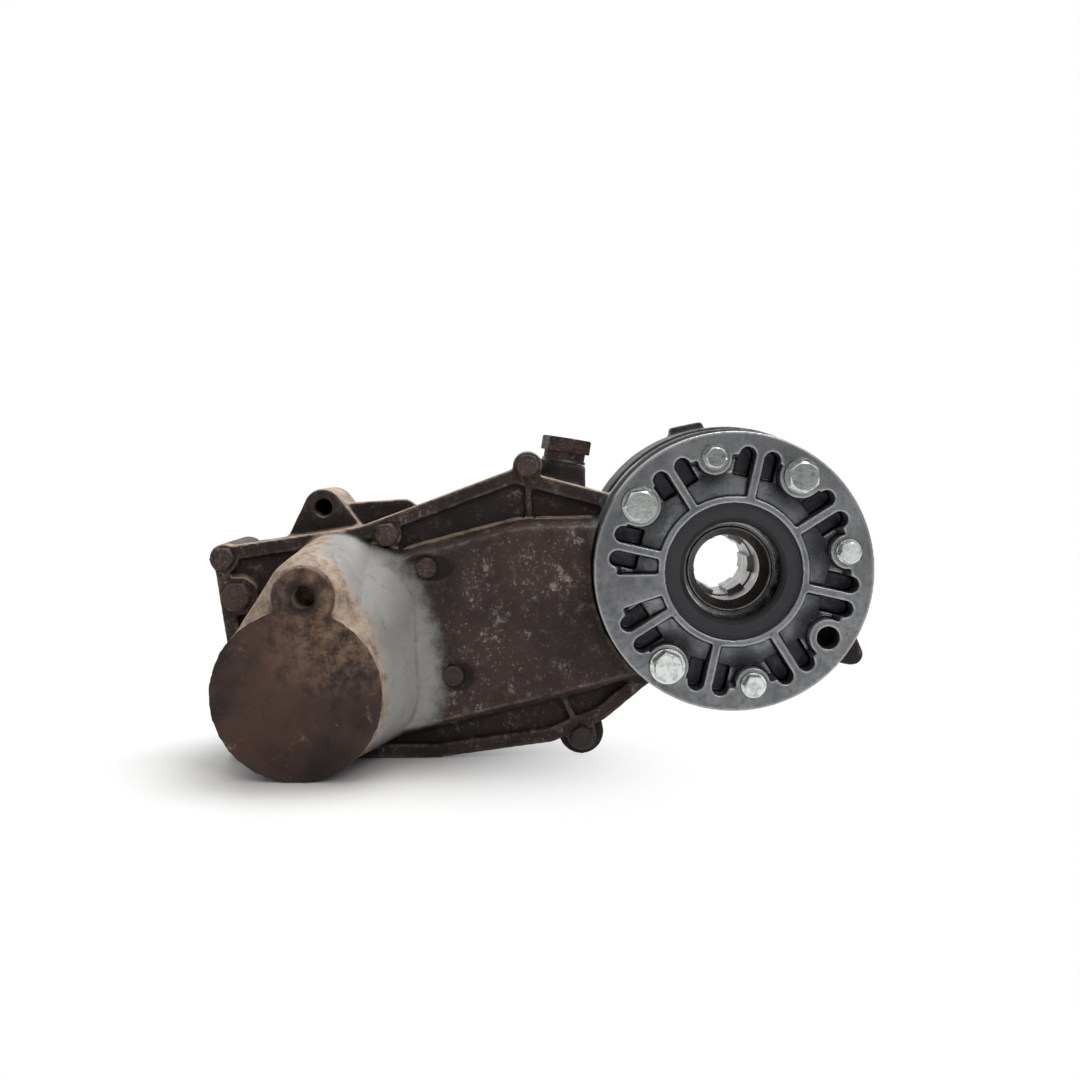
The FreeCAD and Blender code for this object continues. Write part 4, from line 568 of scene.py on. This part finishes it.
# ---- operators --------------------------------------------------------------------------------
class TRANSFERCASE_OT_front_casting(bpy.types.Operator):
    """Skin of the front casting with its closed tube"""
    bl_idname = "transfer_case.front_casting"
    bl_label = "Front Casting"

    def execute(self, context):
        looks = context.scene.casting_looks
        piece = skin_copy("front_casting_skin", "front_case", looks.front_voxel, looks.rounding, 0.6)
        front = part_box("front_case")[0].y
        place = points_of(piece.data)
        end = piece.vertex_groups.new(name="tube end")
        for i in np.flatnonzero(place[:, 1] < front + 6 * MM):
            end.add([int(i)], float(1.0 - ramp(place[i, 1], front + 3 * MM, front + 6 * MM)),
                    "REPLACE")
        uneven(piece, "cast relief", 9 * MM, looks.relief)
        uneven(piece, "end pits", 5 * MM, looks.pitting, "tube end")
        uneven(piece, "small end pits", 2 * MM, looks.pitting / 2, "tube end")
        keep_inside(piece.data, "front_case")
        self.mark(piece.data, front)
        settle(piece, "front_case")
        return {"FINISHED"}

    def mark(self, mesh, front):
        """Stores where the skin is whitish, with painted light from above on top, where it is dusty, crusted and
        bare, where painted shade darkens its recesses, and its edge wear and painted crease shade.
        """
        sheltered = mark_edges(mesh, 0.30 * MM)
        place = points_of(mesh)
        facing = normals_of(mesh)
        up = facing[:, 2]
        ahead = -facing[:, 1]
        axis_x, axis_z = axis_of("output_spin")
        boss_x, _, boss_z = mount_at("tube_boss_hole")
        depth = place[:, 1] - front
        height = place[:, 2] - axis_z
        from_axis = np.hypot(place[:, 0] - axis_x, np.where(height > 0.0, 0.8, 1.0) * height)
        from_boss = np.hypot(place[:, 0] - boss_x, place[:, 2] - boss_z)

        # Whitish skin on the upper side of the tube and on an upward patch: partly the skin's own colour, partly
        # painted light from above.
        flank = ramp(depth, 2 * MM, 5 * MM) * (1.0 - ramp(depth, 54 * MM, 64 * MM))
        near = 1.0 - ramp(from_axis, 56 * MM, 84 * MM)
        above = ramp(height, -40 * MM, -12 * MM)
        lit = ramp(place[:, 0], -78 * MM, -70 * MM) * (1.0 - ramp(place[:, 0], -52 * MM, -44 * MM))
        patch = lit * ramp(place[:, 2], 34 * MM, 42 * MM) * ramp(depth, 56 * MM, 60 * MM)
        keep_share(mesh, "pale", np.maximum(flank * near * above, patch * ramp(up, 0.3, 0.6)))

        band = flank * (1.0 - ramp(depth, 6 * MM, 26 * MM)) * near * above
        left = flank * (1.0 - ramp(place[:, 0] - boss_x, -6 * MM, 18 * MM)) * ramp(
            height, 0.0, 20 * MM)
        top = 0.85 * ramp(up, 0.05, 0.7) * ramp(depth, 60 * MM, 62 * MM) * ramp(
            place[:, 2], -20 * MM, 15 * MM)
        corner = (1.0 - ramp(place[:, 0] - boss_x, -20 * MM, 25 * MM)) * ramp(
            up, 0.1, 0.6) * ramp(place[:, 2], -30 * MM, 0.0)
        from_input = np.hypot(place[:, 0], place[:, 2])
        seat = ramp(from_input, 73 * MM, 75 * MM) * (1.0 - ramp(from_input, 79 * MM, 81 * MM))
        top *= 1.0 - ramp(sheltered, 0.0, 0.3)
        keep_share(mesh, "dusty", np.maximum.reduce([band, left, top, corner]) * (1.0 - seat))
        keep_share(mesh, "bare", seat * ramp(place[:, 2], 10 * MM, 30 * MM))

        # Painted shade: the recess floor, the mouth of the boss hole and the core plug dimples are marked for
        # darkening.
        mouth = 1.0 - ramp(from_boss, 7 * MM, 10 * MM)
        end = (1.0 - ramp(depth, 2.6 * MM, 4.5 * MM)) * ramp(ahead, 0.2, 0.7)
        keep_share(mesh, "crusted", end * (1.0 - 0.9 * mouth))
        keep_share(mesh, "high", ramp(height, -14 * MM, 30 * MM)
                   * ramp(place[:, 0] - axis_x, -30 * MM, 14 * MM))
        hollow = 0.5 * ramp(depth, 58 * MM, 66 * MM) * ramp(ahead, -0.2, 0.6)
        dishes = [0.9 * (1.0 - ramp(np.hypot(place[:, 0] - x, 1.3 * (place[:, 2] - z)),
                                    6 * MM, 15 * MM)) * ramp(ahead, 0.2, 0.6)
                  for x, z in self.plug_places()]
        keep_share(mesh, "deep", np.maximum.reduce([hollow, mouth] + dishes))

    def plug_places(self):
        """X and Z of the two core plugs, which lie at opposite corners of their node's box."""
        low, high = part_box("core_plugs")
        radius = 5.6 * MM
        return (low.x + radius, high.z - radius), (high.x - radius, low.z + radius)


class TRANSFERCASE_OT_rear_casting(bpy.types.Operator):
    """Skin of the rear casting with its barrel, ears and feet"""
    bl_idname = "transfer_case.rear_casting"
    bl_label = "Rear Casting"

    def execute(self, context):
        looks = context.scene.casting_looks
        piece = skin_copy("rear_casting_skin", "rear_case", looks.rear_voxel, looks.rounding, 0.6)
        uneven(piece, "rear cast relief", 9 * MM, looks.relief)
        keep_inside(piece.data, "rear_case")
        mesh = piece.data
        mark_edges(mesh, 0.35 * MM)
        place = points_of(mesh)
        facing = normals_of(mesh)
        ear_x, _, ear_z = mount_at("rear_ear_hole")
        up = ramp(facing[:, 2], 0.3, 0.8) * ramp(place[:, 2], 0.0, 25 * MM)
        near_ear = 1.0 - ramp(np.hypot(place[:, 0] - ear_x, place[:, 2] - ear_z), 20 * MM, 95 * MM)
        keep_share(mesh, "dusty", up * (0.1 + 0.7 * near_ear))
        # Painted shade: faces of the rear casting that look forwards, towards the camera, are marked for
        # darkening.
        keep_share(mesh, "deep", 0.85 * ramp(-facing[:, 1], 0.2, 0.8))
        from_input = np.hypot(place[:, 0], place[:, 2])
        ring = ramp(from_input, 74 * MM, 76 * MM) * (1.0 - ramp(from_input, 84 * MM, 87 * MM))
        keep_share(mesh, "bare", ring * ramp(place[:, 2], 20 * MM, 40 * MM))
        for name in ("pale", "crusted", "high"):
            keep_share(mesh, name, np.zeros(len(place)))
        settle(piece, "rear_case")
        return {"FINISHED"}


class TRANSFERCASE_OT_adapter_plate(bpy.types.Operator):
    """Skin of the ribbed adapter plate"""
    bl_idname = "transfer_case.adapter_plate"
    bl_label = "Adapter Plate"

    def execute(self, context):
        looks = context.scene.adapter_looks
        piece = skin_copy("adapter_plate_skin", "adapter_plate", looks.voxel, looks.rounding, 0.6)
        uneven(piece, "adapter relief", 6 * MM, looks.relief)
        keep_inside(piece.data, "adapter_plate")
        mark_edges(piece.data, 0.16 * MM)
        place = points_of(piece.data)
        # Painted shade: the floors of the pockets are marked for darkening.
        from_axis = np.hypot(place[:, 0], place[:, 2])
        pocket = ramp(from_axis, 48 * MM, 51 * MM) * (1.0 - ramp(from_axis, 67 * MM, 69 * MM))
        keep_share(piece.data, "deep", pocket * ramp(place[:, 1], 9 * MM, 16 * MM))
        settle(piece, "adapter_plate")
        return {"FINISHED"}


class TRANSFERCASE_OT_adapter_bolts(bpy.types.Operator):
    """Zinc finish of the adapter's bolts"""
    bl_idname = "transfer_case.adapter_bolts"
    bl_label = "Adapter Bolts"

    def execute(self, context):
        dress("adapter_bolts_large", "adapter_bolts_small")
        return {"FINISHED"}


class TRANSFERCASE_OT_case_hardware(bpy.types.Operator):
    """Rusted finish of the case's bolts, plugs and vent, and their washers"""
    bl_idname = "transfer_case.case_hardware"
    bl_label = "Case Hardware"

    def execute(self, context):
        dress("core_plugs", "rim_bolts", "side_bolt", "side_bolt_washer", "fill_plug",
              "drain_plug", "vent", "plug_washers", "dowel_pins", "sump_magnet")
        return {"FINISHED"}


class TRANSFERCASE_OT_seals(bpy.types.Operator):
    """Rubber of the shaft seals, O-ring and gasket"""
    bl_idname = "transfer_case.seals"
    bl_label = "Seals"

    def execute(self, context):
        dress("case_gasket", "adapter_o_ring")
        for seal in ("input_seal", "rear_seal", "output_seal"):
            dress(seal + "_case", seal + "_lip", seal + "_spring")
        return {"FINISHED"}


class TRANSFERCASE_OT_input_shaft(bpy.types.Operator):
    """Steel of the splined input shaft and what turns with it"""
    bl_idname = "transfer_case.input_shaft"
    bl_label = "Input Shaft"

    def execute(self, context):
        dress("input_shaft", "drive_sprocket", "input_spacer", "sprocket_circlip")
        return {"FINISHED"}


class TRANSFERCASE_OT_output_side(bpy.types.Operator):
    """Steel of the coupling, the output shaft, its flange and nut"""
    bl_idname = "transfer_case.output_side"
    bl_label = "Output Side"

    def execute(self, context):
        bodies = frame["record"]["behaviour"]["bodies"]
        dress(*(n for n in bodies["driven_rotor"] + bodies["output_rotor"] if "bearing" not in n))
        return {"FINISHED"}


class TRANSFERCASE_OT_bearings(bpy.types.Operator):
    """Ground steel of the ball bearings"""
    bl_idname = "transfer_case.bearings"
    bl_label = "Bearings"

    def execute(self, context):
        dress(*(n for n in frame["nodes"] if "bearing" in n))
        return {"FINISHED"}


class TRANSFERCASE_OT_chain(bpy.types.Operator):
    """Dark steel of the toothed chain"""
    bl_idname = "transfer_case.chain"
    bl_label = "Chain"

    def execute(self, context):
        dress("chain_outer_links", "chain_inner_links")
        return {"FINISHED"}


class TRANSFERCASE_OT_stage(bpy.types.Operator):
    """White table, soft lamps and the camera"""
    bl_idname = "transfer_case.stage"
    bl_label = "Stage"

    def execute(self, context):
        looks = context.scene.stage_looks
        low, high = (Vector(corner) for corner in CAD_BOX)
        centre = (low + high) / 2
        self.add_floor(looks, low.z)
        self.add_lamp("top lamp", looks.top_power, 1.1, centre + Vector((0.3, 0.5, 1.1)), centre)
        self.add_lamp("front lamp", looks.front_power, 0.7, centre + Vector((0.5, -1.3, 0.8)),
                      centre)
        self.add_world(looks)
        camera = bpy.data.objects.new("camera", bpy.data.cameras.new("camera"))
        camera.data.lens = looks.lens
        camera.data.sensor_width = 36.0
        camera.location = Vector((-103.95, -746.81, 59.72)) * MM
        camera.rotation_euler = (math.pi / 2 - looks.camera_tilt, 0.0, 0.0)
        context.scene.collection.objects.link(camera)
        context.scene.camera = camera
        context.scene.view_settings.view_transform = "Standard"
        return {"FINISHED"}

    def add_floor(self, looks, level):
        """White table that turns into plain white away from the tube."""
        half = looks.floor_reach / 2
        mesh = bpy.data.meshes.new("table")
        tube_x = axis_of("output_spin")[0]
        corners = [(tube_x + sx * half, sy * half, level)
                   for sx, sy in ((-1, -1), (1, -1), (1, 1), (-1, 1))]
        mesh.from_pydata(corners, [], [(0, 1, 2, 3)])
        floor = bpy.data.objects.new("table", mesh)
        bpy.context.scene.collection.objects.link(floor)
        material, tree, shader, place = new_material("matt white table")
        shader.inputs["Base Color"].default_value = tuple(looks.floor)
        shader.inputs["Roughness"].default_value = 0.5
        shader.inputs["Specular IOR Level"].default_value = 0.25
        moved = add_node(tree, "ShaderNodeVectorMath", {0: place, 1: (tube_x, 0.0, level)},
                         operation="DISTANCE").outputs["Value"]
        far = window(tree, moved, 40 * MM, 215 * MM)
        rays = add_node(tree, "ShaderNodeLightPath").outputs
        seen = add_node(tree, "ShaderNodeMath",
                        {0: rays["Is Camera Ray"], 1: rays["Is Glossy Ray"]}, operation="MAXIMUM")
        glow = add_node(tree, "ShaderNodeEmission", {"Strength": 1.0})
        both = add_node(tree, "ShaderNodeMixShader",
                        {0: times(tree, far, seen.outputs[0]), 1: shader.outputs[0],
                         2: glow.outputs[0]})
        output = next(n for n in tree.nodes if n.type == "OUTPUT_MATERIAL")
        tree.links.new(both.outputs[0], output.inputs["Surface"])
        mesh.materials.append(material)

    def add_lamp(self, name, power, size, place, target):
        """Square soft lamp that looks at a target."""
        data = bpy.data.lights.new(name, "AREA")
        data.energy = power
        data.size = size
        lamp = bpy.data.objects.new(name, data)
        lamp.location = place
        lamp.rotation_euler = (target - place).to_track_quat("-Z", "Y").to_euler()
        bpy.context.scene.collection.objects.link(lamp)

    def add_world(self, looks):
        """White backdrop to the camera and to gloss, in a room that is darker low and in front."""
        world = bpy.data.worlds.new("studio")
        world.use_nodes = True
        tree = world.node_tree
        tree.nodes.clear()
        rays = add_node(tree, "ShaderNodeLightPath").outputs
        way = add_node(tree, "ShaderNodeTexCoord").outputs["Generated"]
        part = add_node(tree, "ShaderNodeSeparateXYZ", {0: way}).outputs
        lit = times(tree, window(tree, part["Z"], -0.05, 0.85, 0.35, 1.1),
                    window(tree, part["Y"], -0.9, 0.1, 0.3, 1.0))
        mirrored = add_node(tree, "ShaderNodeMath",
                            {0: rays["Is Glossy Ray"], 1: rays["Is Transmission Ray"]},
                            operation="MAXIMUM").outputs[0]
        behind = window(tree, part["Y"], 0.2, 0.7)
        seen = add_node(tree, "ShaderNodeMath",
                        {0: rays["Is Camera Ray"], 1: times(tree, mirrored, behind)},
                        operation="MAXIMUM").outputs[0]
        strength = add_node(tree, "ShaderNodeMix",
                            {0: seen, 2: times(tree, lit, looks.ambient), 3: 1.0}).outputs[0]
        back = add_node(tree, "ShaderNodeBackground",
                        {"Color": (1.0, 1.0, 1.0, 1.0), "Strength": strength})
        add_node(tree, "ShaderNodeOutputWorld", {"Surface": back.outputs[0]})
        bpy.context.scene.world = world


class TRANSFERCASE_PT_panel(bpy.types.Panel):
    """Lists the pieces of the transfer case"""
    bl_idname = "TRANSFERCASE_PT_panel"
    bl_label = "Transfer Case"
    bl_space_type = "VIEW_3D"
    bl_region_type = "UI"
    bl_category = "Transfer Case"

    def draw(self, context):
        for operator in OPERATORS:
            self.layout.operator(operator.bl_idname)
        for name, group in SETTINGS.items():
            box = self.layout.box()
            box.label(text=group.__doc__)
            for key in group.__annotations__:
                box.prop(getattr(context.scene, name), key)


OPERATORS = (
    TRANSFERCASE_OT_front_casting,
    TRANSFERCASE_OT_rear_casting,
    TRANSFERCASE_OT_adapter_plate,
    TRANSFERCASE_OT_adapter_bolts,
    TRANSFERCASE_OT_case_hardware,
    TRANSFERCASE_OT_seals,
    TRANSFERCASE_OT_input_shaft,
    TRANSFERCASE_OT_output_side,
    TRANSFERCASE_OT_bearings,
    TRANSFERCASE_OT_chain,
    TRANSFERCASE_OT_stage,
)


def register():
    for group in SETTINGS.values():
        bpy.utils.register_class(group)
    for name, group in SETTINGS.items():
        setattr(bpy.types.Scene, name, PointerProperty(type=group))
    for operator in OPERATORS:
        bpy.utils.register_class(operator)
    bpy.utils.register_class(TRANSFERCASE_PT_panel)


def unregister():
    bpy.utils.unregister_class(TRANSFERCASE_PT_panel)
    for operator in reversed(OPERATORS):
        bpy.utils.unregister_class(operator)
    for name in SETTINGS:
        delattr(bpy.types.Scene, name)
    for group in reversed(list(SETTINGS.values())):
        bpy.utils.unregister_class(group)


def main():
    """Makes every piece in order."""
    register()
    for operator in OPERATORS:
        group, name = operator.bl_idname.split(".")
        getattr(getattr(bpy.ops, group), name)()


if __name__ == "__main__":
    main()
